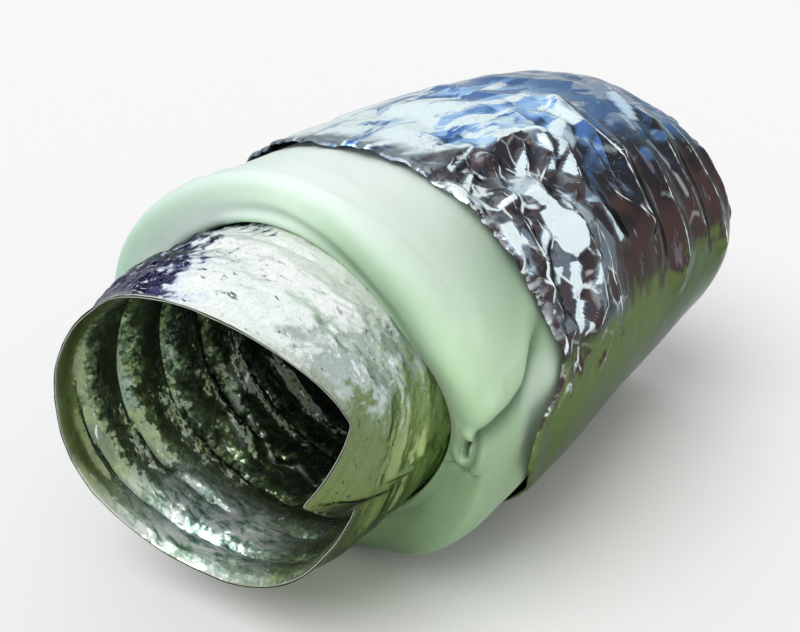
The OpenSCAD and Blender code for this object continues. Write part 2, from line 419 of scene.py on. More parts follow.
ripple = soft_noise(angle / 360 * 60, t / 30.0, 8, 60)
radius = radius + (1 - behind_lip) * 0.35 * ripple - ridge_rise
put(inner_film, core_point(angle, t, np.minimum(radius, EDGE_PLAIN)))
print("inner film radius from", round(float(radius.min()), 1), "mm")

# %% [markdown]
# The finish will need to know where the film is creased, loose, near its edge or lit from below.
# These marks are noted at its corners before the sheet is closed.

# %% Marks on the inner film
FIRM_CREASE = [(-60, 0.4), (0, 0.3), (60, 0.4), (110, 1), (-120, 1)]
LIT_BELOW = [
    (-165, 0), (-146, 0), (-136, 0.3), (-122, 0.85), (-112, 1), (-88, 1), (-70, 0.4), (-55, 0),
    (180, 0),
]

firm = np.clip(0.75 + 1.3 * soft_noise(angle / 360 * 11, t / 50.0, 12, 11), 0, 1)
firm = firm * table(FIRM_CREASE, angle, 8)
note(
    inner_film,
    crease=behind_lip * (1 - pleat) * firm,
    ridge=ridge,
    edge=np.exp(-t / 0.7),
    fold=fold * behind_lip,
    loose=behind_lip,
    depth=t,
    below=table(LIT_BELOW, angle, 5) * ease((t + 1) / 3.0) * (1 - ease((t - 28) / 34.0)),
    gap=gap_beside_tongue(angle, t),
)
roll_up(inner_film)
thicken(inner_film, 0.2)
smooth(inner_film)

# %% [markdown]
# ## Outer film
#
# The outer film is crumpled much more finely, from being squeezed together on the wire. The
# creases run mostly round the tube. It lies over the wire, so it dips slightly between turns.

# %% Outer film
CRUMPLED = [(-60, 0.3), (-20, 0.3), (10, 0.45), (35, 1), (120, 1), (150, 0.9), (-120, 0.7)]

outer_film, u, v = flat_grid("core_outer_film", AROUND, ALONG)
angle = 360.0 * (1 - u)
t = rows_to_length(v, 96.0, CORE_LENGTH, 0.74)
pleat = np.abs(np.sin(np.pi * turns(angle, t)))
on_wire = ease((t - 4) / 16.0)
crush, fold = crushed_film(angle, t, 400, 34, 10.0, layers=3, fade=0.55)
crumpled = table(CRUMPLED, angle, 12)
sway = 0.15 * soft_noise(angle / 360 * 12, t / 20, 9, 12)
rings = np.abs(np.sin(np.pi * 3 * (turns(angle, t) + sway)))
lift = crumpled * 1.7 * (0.55 - crush) + 0.14 * rings
radius = 77.5 + on_wire * (2.6 - 0.8 * pleat) + (0.25 + 0.75 * on_wire) * np.maximum(lift, 0)
put(outer_film, core_point(angle, t, radius))
wrapped = signed(angle)
tongue = ease((wrapped + 10) / 4.0) * ease((26 - wrapped) / 8.0) * (1 - ease((t - 16) / 16.0))
note(
    outer_film,
    fold=fold * crumpled,
    edge=np.exp(-t / 0.7),
    groove=1 - rings,
    depth=t,
    tongue=tongue,
    gap=gap_beside_tongue(angle, t),
)
roll_up(outer_film)
thicken(outer_film, 0.2)
smooth(outer_film)

# %% [markdown]
# ## Spring wire
#
# The wire is one helix between the two films. A narrow sheet is rolled into a thin tube and laid
# along the helix. At both ends the section shrinks to a point, which closes the tube.

# %% Wire
WIRE_RADIUS = 0.6
WIRE_CENTRE = 79.13
wire_turns = (CORE_LENGTH - 2 * CUFF) / PITCH
wire, u, v = flat_grid("core_wire", 8, int(wire_turns * 72))
sweep = 360.0 * wire_turns * v
t = CUFF + PITCH * v * wire_turns
section = 2 * np.pi * u
closed = np.where((v < 1e-6) | (v > 1 - 1e-6), 0.0, WIRE_RADIUS)
radius = WIRE_CENTRE + closed * np.cos(section)
put(wire, core_point(sweep, t + closed * np.sin(section), radius))
roll_up(wire)
smooth(wire, 60)

# %% [markdown]
# ## Fibre blanket
#
# The blanket is a thick, soft mat wrapped round the core. Its torn front end swells outwards,
# with a rounded shoulder and a rolled inner lip that rests on the core. A torus is a good start,
# because it is already a closed ring. Each of its sections is laid out as a cage: along the
# core, round the lip, up the front, over the shoulder and back under the jacket. Subdivision
# turns the cage into soft rounded fibre.

# %% Jacket and blanket tables
JACKET_TRAVEL = 40  # how far the jacket can slide forward

# The jacket's radius at these angles, for some distances back
JACKET_ANGLES = [-150, -120, -90, -60, -30, 0, 30, 60, 90, 120, 150, 180]
JACKET_RADII = {
    85: [108, 108, 107.4, 110, 114, 113, 111, 109, 107, 106.5, 107.5, 108],
    100: [108, 108, 107.4, 110, 115.5, 114, 112, 110, 108, 107, 108, 108],
    135: [108, 108, 107.4, 110.5, 116.5, 115, 112, 110.5, 109, 108.7, 108, 108],
    165: [108, 108, 107.4, 110.5, 115.5, 114, 112, 110.5, 109.5, 109.2, 108, 108],
    215: [107, 107, 107.4, 109, 112, 112.5, 111.5, 110, 108, 106.5, 107, 107],
    265: [105, 106, 107.4, 107, 108.5, 111.5, 111, 107, 104, 102.2, 104, 105],
    305: [101, 104, 106.5, 105, 106, 112, 109, 102, 98, 96.5, 98, 100],
    330: [97, 102, 105.5, 103.5, 104, 112.5, 106.5, 95, 91.5, 91.5, 93.5, 96],
    345: [93, 99, 104, 101, 101.5, 111.5, 102.5, 90, 87, 88, 90, 92],
}

# How far back the blanket's shoulder and its line on the core lie, and its outer radius
SHOULDER_BACK = [
    (-180, 46), (-160, 53), (-130, 65), (-100, 75), (-79, 79), (-62, 79), (-55, 75), (-48, 70),
    (-30, 76), (-10, 78), (10, 74), (30, 66), (60, 64), (90, 65), (118, 58), (137, 49),
    (156, 45), (170, 44),
]
JUNCTION_BACK = [
    (-180, 48), (-150, 58), (-120, 68), (-90, 74), (-60, 76), (-36, 76), (-28, 79), (-21, 82),
    (-11, 84), (1, 82), (16, 76), (37, 66), (60, 63), (82, 61), (100, 60), (112, 58), (130, 52),
    (150, 46),
]
BLANKET_RADIUS = [
    (-180, 107.5), (-150, 107.5), (-120, 107.3), (-90, 107.2), (-60, 107.5), (-48, 109),
    (-30, 112.5), (-10, 112), (10, 110), (30, 109), (60, 108), (90, 107.5), (118, 106.5),
    (137, 107), (160, 107.5),
]

# How far back the jacket's front edge lies
JACKET_FRONT = [
    (-180, 112), (-150, 114), (-120, 116), (-90, 119), (-60, 127), (-38, 132), (-30, 129),
    (-22, 117), (-13, 108), (-6, 106), (0, 112), (3, 121), (6, 130), (15, 130), (26, 125.5),
    (39, 120.5), (53, 118.5), (66, 115.5), (78, 111.5), (90, 105), (102, 103), (112, 105),
    (125, 109), (140, 112),
]
JACKET_STOPS = np.array(sorted(JACKET_RADII), dtype=float)
JACKET_RINGS = np.array(
    [round_table(list(zip(JACKET_ANGLES, JACKET_RADII[int(stop)])), 10) for stop in JACKET_STOPS]
)


def jacket_radius(angle, s):
    """The jacket's resting radius: round at the front, drawn in at the rear of the top."""
    s = np.clip(s, JACKET_STOPS[0], JACKET_STOPS[-1])
    k = np.clip(np.searchsorted(JACKET_STOPS, s, side="right") - 1, 0, len(JACKET_STOPS) - 2)
    part = (s - JACKET_STOPS[k]) / (JACKET_STOPS[k + 1] - JACKET_STOPS[k])
    place = np.mod(angle, 360) * 2
    i = np.floor(place).astype(int) % 720
    x = place - np.floor(place)
    j = (i + 1) % 720
    low = JACKET_RINGS[k, i] * (1 - x) + JACKET_RINGS[k, j] * x
    high = JACKET_RINGS[k + 1, i] * (1 - x) + JACKET_RINGS[k + 1, j] * x
    return low * (1 - part) + high * part


print("jacket radius from", JACKET_RINGS.min().round(1), "to", JACKET_RINGS.max().round(1), "mm")


# %% Blanket cage
SECTIONS = 60
RING = 20
CORE_SKIN = 80.6  # the core's outside
CORE_CLEAR = 81.4

bpy.ops.object.select_all(action="DESELECT")
bpy.ops.mesh.primitive_torus_add(
    major_segments=SECTIONS, minor_segments=RING, major_radius=0.09, minor_radius=0.02
)
blanket = bpy.context.object
blanket.name = "blanket_wrap"
blanket.data.name = "blanket_wrap"

cage = np.empty((SECTIONS, RING, 3))
for k in range(SECTIONS):
    degrees = np.array([360.0 * k / SECTIONS])
    s_in = float(table(JUNCTION_BACK, degrees, 5)[0])
    s_out = float(table(SHOULDER_BACK, degrees, 5)[0])
    r_out = float(table(BLANKET_RADIUS, degrees, 6)[0])
    thick = r_out - CORE_SKIN

    def under(s, k=degrees):
        """The radius under the jacket, clear of it also when the jacket slides forward."""
        steps = (0, JACKET_TRAVEL / 2, JACKET_TRAVEL)
        reach = [float(jacket_radius(k, np.array([s + step]))[0]) for step in steps]
        return min(reach) - 3.2

    s_mid = 0.5 * (s_in + s_out)
    outline = [
        (s_in + 14, CORE_CLEAR),
        (s_in + 4, 80.9),
        (s_in + 0.5, 82.0),
        (0.7 * s_in + 0.3 * s_mid - 0.6, CORE_SKIN + 0.22 * thick),
        (s_mid - 2.6, CORE_SKIN + 0.48 * thick),
        (0.5 * s_mid + 0.5 * s_out - 3.2, CORE_SKIN + 0.74 * thick),
        (s_out - 0.5, CORE_SKIN + 0.93 * thick),
        (s_out + 6.5, min(r_out + 0.8, under(s_out + 45) + 1.6)),
        (s_out + 18, min(r_out + 0.4, under(s_out + 45) + 0.6)),
        (s_out + 32, min(r_out, under(s_out + 32))),
        (s_out + 50, min(r_out, under(s_out + 50))),
        (165, under(165)),
        (220, under(220)),
        (275, under(275)),
        (315, under(315)),
        (329, under(330) - 4),
        (330.5, 0.5 * (under(330) + CORE_CLEAR)),
        (329, CORE_CLEAR + 3),
        (315, CORE_CLEAR),
        (200, CORE_CLEAR),
    ]
    a = math.radians(float(degrees[0]))
    for j, (s, r) in enumerate(outline):
        cage[k, j] = (-s, r * math.cos(a), r * math.sin(a))
put(blanket, cage.reshape(-1, 3))

only(blanket)
bpy.ops.object.mode_set(mode="EDIT")
bpy.ops.mesh.select_all(action="SELECT")
bpy.ops.mesh.normals_make_consistent(inside=False)
bpy.ops.object.mode_set(mode="OBJECT")
soft = blanket.modifiers.new("soft", "SUBSURF")
soft.levels = 3
soft.render_levels = 3
bpy.ops.object.modifier_apply(modifier=soft.name)
print("blanket", len(blanket.data.polygons), "faces")

# %% [markdown]
# ## Folds in the blanket
#
# The blanket's edge was torn, and the end of its wrap hangs down on the right as a soft lobe
# with a rolled lip. These folds are pressed into the smooth form the way a sculptor would: each
# one moves the nearby points in or out along the radius, or back along the duct.

# %% Lines in space
def on_duct(s, degrees, r):
    a = np.radians(degrees)
    return np.stack([-s, r * np.cos(a), r * np.sin(a)], axis=-1)


def line_in_space(points, normals, line):
    """How far each point lies from a (distance back, angle, radius) line, along the surface."""
    corners = on_duct(*np.array(line, dtype=float).T)
    nearest = np.full(len(points), np.inf)
    for start, end in zip(corners, corners[1:]):
        step = end - start
        along = np.clip((points - start) @ step / (step @ step), 0, 1)
        gap = points - start - along[:, None] * step
        gap = gap - 0.85 * (gap * normals).sum(axis=1)[:, None] * normals
        nearest = np.minimum(nearest, np.linalg.norm(gap, axis=1))
    return nearest


# %% Where the folds lie
# The lobe's edge runs from the jacket to the front and turns back under itself in a loop. Each
# point is a distance back, an angle and a radius.
SEAM = [
    (128, 25, 109), (120, 20.5, 108), (114, 17.5, 108), (108, 14, 109), (102, 10.5, 109),
    (91, 8.5, 109), (80, 8, 109), (74, 5, 107), (73, -2.5, 104.5), (73, -7, 102), (73, -10.5, 99),
    (74, -12.5, 93), (75, -13, 86), (77, -13, 83),
]
LOOP = [(70, 4, 101.5), (70, -1, 101), (70, -5, 98.5), (71, -8, 95), (72, -9, 90), (73, -8, 86)]
HOLE = [(70, -5, 97), (70, -2.2, 98), (70, 0.6, 100)]

co = np.empty(len(blanket.data.vertices) * 3)
normal = np.empty(len(blanket.data.vertices) * 3)
blanket.data.vertices.foreach_get("co", co)
blanket.data.vertices.foreach_get("normal", normal)
co = co.reshape(-1, 3) / MM
normal = normal.reshape(-1, 3)
uncovered = ease((112 + co[:, 0]) / 12.0 + 1)
groove = hump(line_in_space(co, normal, SEAM), 0, 3.2) * uncovered
roll = hump(line_in_space(co, normal, LOOP), 0, 3.6) * uncovered
hole = hump(line_in_space(co, normal, HOLE), 0, 1.9) * uncovered
press = 4.6 * groove - 1.8 * roll + 9.0 * hole
print("pressed in by up to", round(float(press.max()), 1), "mm")

# %% Sculpt the blanket
BLANKET_BOTTOM = -107.0
SEAM_ANGLE = [
    (70, 5), (79, 7.5), (91, 8.5), (102, 10.5), (108, 14), (114, 17.5), (120, 20.5), (128, 25),
]
LOOP_RADIUS = [(-16, 80), (-13, 92), (-10.5, 99), (-7, 102), (-2.5, 104.5), (5, 107), (8, 109)]
FOLD_OVER_CORE = [
    (26, 0), (44, 0.6), (64, 0.8), (86, 1), (100, 0.9), (116, 0), (180, 0), (0, 0),
]

co = co - press[:, None] * normal
s = -co[:, 0]
r = np.hypot(co[:, 1], co[:, 2])
angle = np.degrees(np.arctan2(co[:, 2], co[:, 1]))

# How far a point lies out from the core: 0 on the core and 1 on the outside
out = np.clip((r - CORE_SKIN) / 27.0, 0, 1)
shows = 1 - ease((s - 112) / 20.0)

# The layer on the far side of the seam lies lower than the lobe
side = (angle - np.interp(s, *zip(*SEAM_ANGLE))) * 1.9
reach = ease((s - 70) / 8.0) * shows * ease((out - 0.3) / 0.4)
r = r - 3.4 * ease((3.0 - side) / 6.0) * ease((side + 80) / 40.0) * reach
r = r + 2.2 * hump(side, 10, 8.0) * reach

# Below the loop, and outside it, the front face sits further back
front = (1 - ease((s - 84) / 22.0)) * ease((out - 0.02) / 0.2)
behind = ease((r - np.interp(angle, *zip(*LOOP_RADIUS))) / 4.0)
behind = behind * ease((angle + 80) / 35.0) * ease((9 - angle) / 4.0)
s = s + 6.5 * behind * front * (1 - 0.4 * out)

# The lobe swells, and a soft fold follows the core's top
s = s - 3.0 * hump(angle, 22, 22) * front * hump(out, 0.6, 0.35)
wrinkle = hump(r, 88.0 + 0.8 * np.sin(np.radians(angle * 5)), 2.6)
wrinkle *= front * table(FOLD_OVER_CORE, angle, 4)
s = s + 1.6 * wrinkle

# Slow unevenness, as in any torn mat
slow = soft_noise(angle / 360 * 14, s / 26.0, 81, 14)
slow = slow + 0.5 * soft_noise(angle / 360 * 34, s / 11.0, 82, 34)
small = soft_noise(angle / 360 * 90, s / 4.5 + r / 6.0, 83, 90)
r = r + shows * (1.5 * slow + 0.35 * small) * ease((out - 0.1) / 0.3)
wave = soft_noise(angle / 360 * 20, r / 12.0, 84, 20)
s = s + shows * (1 - ease((s - 80) / 20.0)) * 1.6 * wave

# The jacket needs room to slide forward over it
hem = table(JACKET_FRONT, angle, 3)
room = jacket_radius(angle, s + JACKET_TRAVEL) - 2.5
reached = ease((s - hem + JACKET_TRAVEL + 14) / 11.0)
r = np.minimum(r, room + 10 * (1 - reached))

# It rests on the floor
a = np.radians(angle)
z = np.maximum(r * np.sin(a), BLANKET_BOTTOM)
put(blanket, np.stack([-s, r * np.cos(a), z], axis=-1))
print("front of the blanket from", round(float(s.min()), 1), "mm behind the mouth")

# %% [markdown]
# Light passes into the fibre and comes out again, which a matt finish alone doesn't show. So the
# blanket also keeps two numbers at each point, how much it is shaded by folds and neighbours and
# how much it is lit, and its finish is tinted by them.

# %% Shaded and lit places on the blanket
UNDER_HEM = [
    (-60, 0.2), (0, 0), (13, 0.1), (22, 0.9), (45, 0.8), (60, 0.2), (75, 0), (180, 0),
]
CORE_SHADE_WIDTH = [
    (-90, 0.15), (-20, 0.12), (10, 0.3), (40, 0.6), (62, 0.6), (85, 0.3), (150, 0.2),
]
CORE_SHADE = [
    (-60, 0.3), (0, 0.7), (30, 0.9), (60, 1.1), (76, 0.5), (86, 0), (150, 0), (180, 0.2),
]
SIDE_SHADE = [
    (-80, 1), (-40, 2.1), (-10, 2.1), (2, 1), (20, 0.8), (45, 1), (62, 0.4), (76, 0), (180, 0),
]
LIGHT_OVER_CORE = [
    (70, 0), (84, 0.5), (95, 1), (125, 0.9), (150, 0.6), (175, 0), (-90, 0),
]
LIGHT_BELOW_SEAM = [(-12, 0), (-4, 0.6), (5, 1), (12, 1), (19, 0), (180, 0)]

under_hem = ease((s - hem + 44) / 44.0) * table(UNDER_HEM, angle, 4)
by_core = hump(out, 0, table(CORE_SHADE_WIDTH, angle, 8)) * front
by_core = by_core * table(CORE_SHADE, angle, 5)
by_seam = hump(side, -3, 8) * reach + 0.7 * groove
# A painted light on the swelling lobe, taken off the shade.
lit_lobe = hump(angle, 26, 9) * hump(s, 72, 12) * ease((out - 0.5) / 0.3)
shade = 0.75 * by_seam + 1.2 * hole + 0.42 * wrinkle + 0.6 * under_hem + 0.75 * by_core
shade = shade - 0.4 * roll - 0.25 * lit_lobe + 0.16 * table(SIDE_SHADE, angle, 6)
light = 0.9 * table(LIGHT_OVER_CORE, angle, 5) * hump(out, 0.1, 0.4) * front
light = light + 0.5 * table(LIGHT_BELOW_SEAM, angle, 2) * ease((s - 95) / 20.0)
light = light + 0.4 * hump(angle, 64, 14) * hump(s, 92, 20) * ease((out - 0.4) / 0.4)
note(blanket, light=light, shade=np.clip(shade, 0, 1), hole=np.clip(hole * 1.3, 0, 1))
print("shaded by more than half:", int((shade > 0.5).sum()), "of", len(shade), "points")
only(blanket)
bpy.ops.object.shade_smooth()

# %% [markdown]
# ## Film jacket
#
# The jacket is one loose, bright film. Its torn front edge is gathered and rolled back on
# itself. Behind the edge it is crushed into large angular facets, further back it is creased
# round the duct, and along the top it only carries long, soft folds.

# %% Jacket edges and long creases
JACKET_REAR = [(-180, 334), (-90, 336), (-30, 341), (8, 349), (45, 348), (80, 345), (120, 338)]

# Points, height and half width of each crease. A negative height is a valley.
LONG_CREASES = [
    ([(243, 72), (238, 61), (241, 53), (243, 46), (239, 38), (236, 28)], 3.6, 11),
    ([(252, 66), (249, 58), (247, 47)], 2.0, 5),
    ([(322, 47), (319, 38), (319, 31), (324, 22), (327, 12), (329, 5)], 3.2, 9),
    ([(340, 35), (338, 28), (343, 18), (349, 12)], 2.4, 6),
    ([(270, 40), (268, 30), (271, 20), (275, 11), (268, 6)], 2.8, 12),
    ([(222, 39), (231, 33), (236, 28)], 2.4, 8),
    ([(199, 40), (203, 34), (207, 28)], 2.8, 9),
    ([(187, 38), (189, 30), (186, 22), (190, 12)], 2.2, 11),
    ([(297, 44), (294, 34), (298, 22), (301, 12)], 2.0, 10),
    ([(158, 51), (166, 45), (172, 38), (175, 32), (173, 26), (171, 18), (164, 14)], 4.2, 12),
    ([(127, 66), (142, 69), (153, 69), (152, 62), (148, 57), (140, 51)], 3.6, 8),
    ([(137, 53), (136, 45), (135, 38), (133, 32), (136, 22), (130, 14)], 3.4, 7),
    ([(155, 63), (171, 67), (189, 66), (197, 62)], 3.4, 9),
    ([(193, 62), (191, 58), (181, 54), (167, 51)], 3.2, 8),
    ([(181, 62), (175, 58), (167, 54), (160, 50)], 2.6, 6),
    ([(204, 56), (201, 50), (196, 46), (184, 48)], 3.6, 8),
    ([(150, 44), (147, 40), (137, 35)], 3.0, 7),
    ([(217, 68), (223, 63), (207, 59), (190, 57)], 2.6, 8),
    ([(144, 16), (138, 11), (134, 3)], 2.0, 6),
    ([(186, 7), (178, 3), (169, 0)], 1.0, 4),
    ([(306, 73), (299, 66), (299, 60), (304, 52)], 2.6, 9),
    ([(165, 97), (184, 88), (206, 78), (202, 68), (199, 63)], 1.8, 12),
    ([(212, 101), (213, 86), (238, 72)], 1.6, 14),
    ([(250, 96), (268, 84), (290, 76)], 1.6, 12),
    ([(147, 47), (156, 43), (168, 42)], -3.4, 9),
    ([(146, 61), (150, 55)], -3.0, 8),
    ([(150, 34), (149, 26), (154, 20)], -3.2, 9),
    ([(214, 50), (219, 42), (218, 34)], -2.2, 12),
    ([(255, 40), (254, 28), (258, 16)], -2.0, 12),
    ([(308, 36), (308, 22), (313, 10)], -1.8, 10),
]

# Flat facets with straight sides: how bright each one flashes, and its corners. Those with a
# negative brightness lean away and stay dark. The corners are pixels of the camera's own image,
# counted ZOOM to the pixel from ZOOM_CORNER, and on_jacket finds the place on the duct.
ZOOM = 8.2526
ZOOM_CORNER = (430, 110)
FACET_RADIUS = 112.5
FLAT_FACETS_SEEN = [
    (1, [(338, 283), (372, 310), (178, 500), (158, 480)]),
    (1, [(395, 488), (350, 490), (275, 640), (300, 700), (340, 690)]),
    (0.9, [(150, 555), (290, 640), (330, 770), (250, 770)]),
    (0.9, [(300, 660), (430, 720), (560, 830), (370, 790)]),
    (1, [(780, 310), (822, 430), (775, 525), (728, 450)]),
    (1, [(1030, 270), (1110, 290), (1100, 380), (1050, 400)]),
    (0.8, [(990, 380), (1060, 400), (1050, 480), (975, 500)]),
    (1, [(1130, 370), (1175, 390), (1212, 565), (1105, 490)]),
    (0.3, [(1045, 180), (1250, 210), (1150, 320), (1010, 265)]),
    (0.9, [(865, 245), (905, 255), (1005, 350), (980, 375)]),
    (1, [(670, 622), (712, 720), (690, 775), (635, 740)]),
    (0.9, [(700, 730), (690, 775), (570, 835), (560, 780)]),
    (1, [(915, 840), (1000, 800), (1150, 870), (1215, 960), (1245, 1130), (1185, 1225),
         (1100, 1160), (990, 1000)]),
    (0.9, [(830, 665), (1010, 785), (960, 825), (797, 700)]),
    (1, [(945, 935), (988, 1010), (955, 1110), (870, 1248)]),
    (0.5, [(1080, 690), (1190, 690), (1150, 850), (1045, 800)]),
    (0.9, [(1372, 795), (1412, 805), (1575, 1050), (1560, 1085)]),
    (0.9, [(1185, 1290), (1227, 1290), (1252, 1500), (1213, 1500)]),
    (0.6, [(1290, 1170), (1322, 1180), (1347, 1440), (1308, 1440)]),
    (0.9, [(1073, 1300), (1112, 1300), (1102, 1440), (1068, 1430)]),
    (0.7, [(555, 960), (650, 930), (870, 1370), (810, 1380), (690, 1220)]),
    (1, [(470, 75), (600, 30), (710, 40), (690, 115)]),
    (1, [(760, 95), (850, 85), (970, 230), (900, 235), (700, 125)]),
    (-0.9, [(110, 320), (315, 285), (165, 465)]),
    (-0.5, [(640, 840), (830, 800), (905, 940), (855, 1190)]),
    (-0.5, [(900, 640), (1060, 510), (1090, 570), (1020, 740)]),
    (-0.5, [(370, 490), (480, 440), (600, 700), (560, 790), (350, 660)]),
    (-0.4, [(1180, 320), (1270, 240), (1440, 350), (1560, 600), (1350, 720), (1230, 570)]),
    (-0.4, [(490, 400), (600, 270), (720, 420), (720, 500), (520, 440)]),
    (-0.5, [(820, 330), (880, 320), (960, 540), (880, 560)]),
]

# Narrow facets further back: their two ends, half width and brightness
NARROW_FACETS = [
    ([(216, 61), (207, 55)], 6.0, 0.4),
    ([(228, 56), (224, 46)], 1.2, 0.6),
    ([(298, 66), (290, 56)], 4.5, 0.8),
    ([(283, 58), (279, 52)], 1.4, 0.7),
    ([(312, 52), (309, 44)], 1.4, 0.7),
    ([(157, 21), (149, 15)], 2.2, 0.9),
    ([(159, 30), (155, 23)], 2.4, 0.8),
]


def on_jacket(x, y):
    """The (distance back, angle) at which the camera sees this corner on the jacket."""
    x = ZOOM_CORNER[0] + x / ZOOM
    y = ZOOM_CORNER[1] + y / ZOOM
    ray = (x - IMAGE_WIDTH / 2) / FOCAL_LENGTH * right
    ray = ray - (y - IMAGE_HEIGHT / 2) / FOCAL_LENGTH * up - toward_camera
    eye = (aim + toward_camera * DISTANCE) / MM
    a = ray.y**2 + ray.z**2
    b = 2 * (eye.y * ray.y + eye.z * ray.z)
    c = eye.y**2 + eye.z**2 - FACET_RADIUS**2
    point = eye + (-b - math.sqrt(b * b - 4 * a * c)) / (2 * a) * ray
    return round(-point.x, 1), round(math.degrees(math.atan2(point.z, point.y)), 1)


def narrow_facet(ends, half_width, radius=112):
    """Four corners round a strip, which is a little wider at its first end."""
    (s0, a0), (s1, a1) = ends
    k = math.radians(1) * radius
    length = math.hypot(s1 - s0, (a1 - a0) * k)
    ds = (s1 - s0) / length
    da = (a1 - a0) * k / length
    past = half_width * 0.5
    wide = half_width * 1.15
    slim = half_width * 0.75
    corners = [
        (s0 - ds * past + da * wide, (a0 * k - da * past - ds * wide) / k),
        (s0 - ds * past - da * wide, (a0 * k - da * past + ds * wide) / k),
        (s1 + ds * past - da * slim, (a1 * k + da * past + ds * slim) / k),
        (s1 + ds * past + da * slim, (a1 * k + da * past - ds * slim) / k),
    ]
    return [(round(s, 1), round(a, 1)) for s, a in corners]


FLAT_FACETS = [(shine, [on_jacket(*at) for at in corners]) for shine, corners in FLAT_FACETS_SEEN]
FLAT_FACETS += [(shine, narrow_facet(ends, width)) for ends, width, shine in NARROW_FACETS]

# Upper border of the crushed facets: (distance back, angle)
CRUSHED_TOP = [
    (131, 74), (151, 70), (157, 68), (175, 67.5), (185, 67), (195, 64), (200, 61), (208, 56),
    (218, 52),
]
print(len(LONG_CREASES), "long creases and", len(FLAT_FACETS), "flat facets")

# %% [markdown]
# The film's columns stand closer together on the two sides and the top than underneath. Both
# torn edges are ragged, and the rear edge has two small peaks on the right.

# %% Jacket outline
BUNCHING = 0.055
BUNCHED_AT = 0.14

jacket, u, v = flat_grid("jacket_film", 430, 112)
turn = 1 - u
angle = 360.0 * (turn - BUNCHING * np.sin(2 * np.pi * (turn - BUNCHED_AT)))
angle = angle - BUNCHING * 360 * math.sin(2 * math.pi * BUNCHED_AT)
wrapped = signed(angle)
front_edge = table(JACKET_FRONT, angle, 1.6)
ragged, _ = facet_pattern(angle / 360 * 90, 0 * v, 31, 90)
nicks, _ = facet_pattern(angle / 360 * 200, 0 * v, 33, 200)
front_edge = front_edge + 2.2 * ragged + 0.8 * nicks
torn, _ = facet_pattern(angle / 360 * 60, 0 * v, 35, 60)
rear_edge = table(JACKET_REAR, angle, 8) + 2.2 * torn
rear_edge = rear_edge + 4.5 * hump(wrapped, 49.5, 2.0) + 3.0 * hump(wrapped, 38, 1.6)
rear_edge = np.minimum(rear_edge, 349.5)
s = front_edge + v**1.25 * (rear_edge - front_edge)
back = s - front_edge
print("jacket from", round(float(s.min()), 1), "to", round(float(s.max()), 1), "mm back")

# %% [markdown]
# Three tables say where round the duct each kind of crease shows: crushed facets, rings and long
# folds. Where the film lies low, the duct's weight has pressed it smooth.

# %% Jacket creases
ON_RIGHT = [
    (-60, 0.1), (-28, 0.15), (-12, 0.35), (2, 0.5), (14, 0.9), (25, 1), (60, 1), (72, 0.7),
    (84, 0.45), (120, 0.4), (160, 0.7), (-150, 0.7), (-100, 0.3),
]
ON_TOP = [
    (-60, 0), (40, 0), (58, 0.5), (75, 1), (115, 1), (150, 0.5), (180, 0.2), (-120, 0),
]
LOW = [
    (-180, 0.4), (-130, 0.6), (-90, 1), (-40, 1), (-5, 1), (6, 0.7), (18, 0.15), (28, 0), (150, 0),
]

on_right = table(ON_RIGHT, angle, 4)
on_top = table(ON_TOP, angle, 8)
low = table(LOW, angle, 3)
near_front = 1 - ease((back - 35) / 50.0)
crushed = on_right * (0.22 + 0.78 * near_front)
ringed = (1 - low) * (1 - 0.6 * on_top) * ease((back - 50) / 50.0)

big, big_crease = crushed_film(angle, s, 500, 27, 24.0, layers=2, fade=0.42)
ring_v = (s + 7 * soft_noise(angle / 360 * 16, s / 60, 57, 16)) / 12.0
rings, ring_away = facet_pattern(angle / 360.0 * 13, ring_v, 520, 13)
long_folds, _ = facet_pattern(angle / 360.0 * 44, s / 80.0, 530, 44)
slow = soft_noise(angle / 360 * 14, s / 45.0, 54, 14)

height = -5.0 * crushed * big - 2.2 * ringed * rings
height = height - 1.5 * on_top * long_folds * (1 - near_front * 0.5)
height = height + 1.6 * (1 - crushed) * slow
crease = np.clip(crushed * 1.2, 0, 1) * big_crease * (1 - 0.75 * on_top)
crease = np.maximum(crease, 0.8 * ringed * np.exp(-((ring_away * 12 / 0.9) ** 2)))
line_near = np.full(angle.shape, 50.0)
line_side = np.full(angle.shape, 50.0)
line_width = np.zeros_like(angle)
for points, rise, half_width in LONG_CREASES:
    away, side = line_distance(s, wrapped, points)
    height = height + rise * tent(np.sqrt(away * away + 1.2), half_width)
    if rise > 0:
        closer = away < line_near
        line_near = np.where(closer, away, line_near)
        line_side = np.where(closer, side, line_side)
        line_width = np.where(closer, 0.17 * (rise - 1.5), line_width)
    else:
        crease = crease * (1 - 0.8 * tent(away, half_width))

tip = np.zeros_like(angle)
for brightness, corners in FLAT_FACETS:
    inside = inside_facet(s, wrapped, corners)
    tip = tip + brightness * np.clip(inside / 1.5 + 0.6, 0, 1)
    height = height + 0.9 * max(brightness, 0) * np.clip(inside / 2.5 + 0.5, 0, 1)

# Gathers and a rolled hem at the front edge
gathers, gather_away = facet_pattern(angle / 360 * 110, s / 26.0, 540, 110)
gather = np.exp(-back / 13.0) * (1 - 0.6 * low)
height = height - 3.0 * gather * gathers
gathered = gather * np.exp(-((gather_away * 3.0) ** 2))
crease = np.maximum(crease, gathered)
rolled = 0.7 * hump(back, 3.0, 2.6) * (1 - 0.6 * low) - 1.4 * np.exp(-back / 1.1)
print("creases stand up to", round(float(height.max()), 1), "mm high")

# %% [markdown]
# The creases stand on the jacket's resting shape. They may dip only a little below it, because
# the blanket is right underneath, and at the floor the film is pressed flat.

# %% Put the jacket in place
JACKET_BOTTOM = -107.3
FLAT = 1.5  # the film flattens over this height

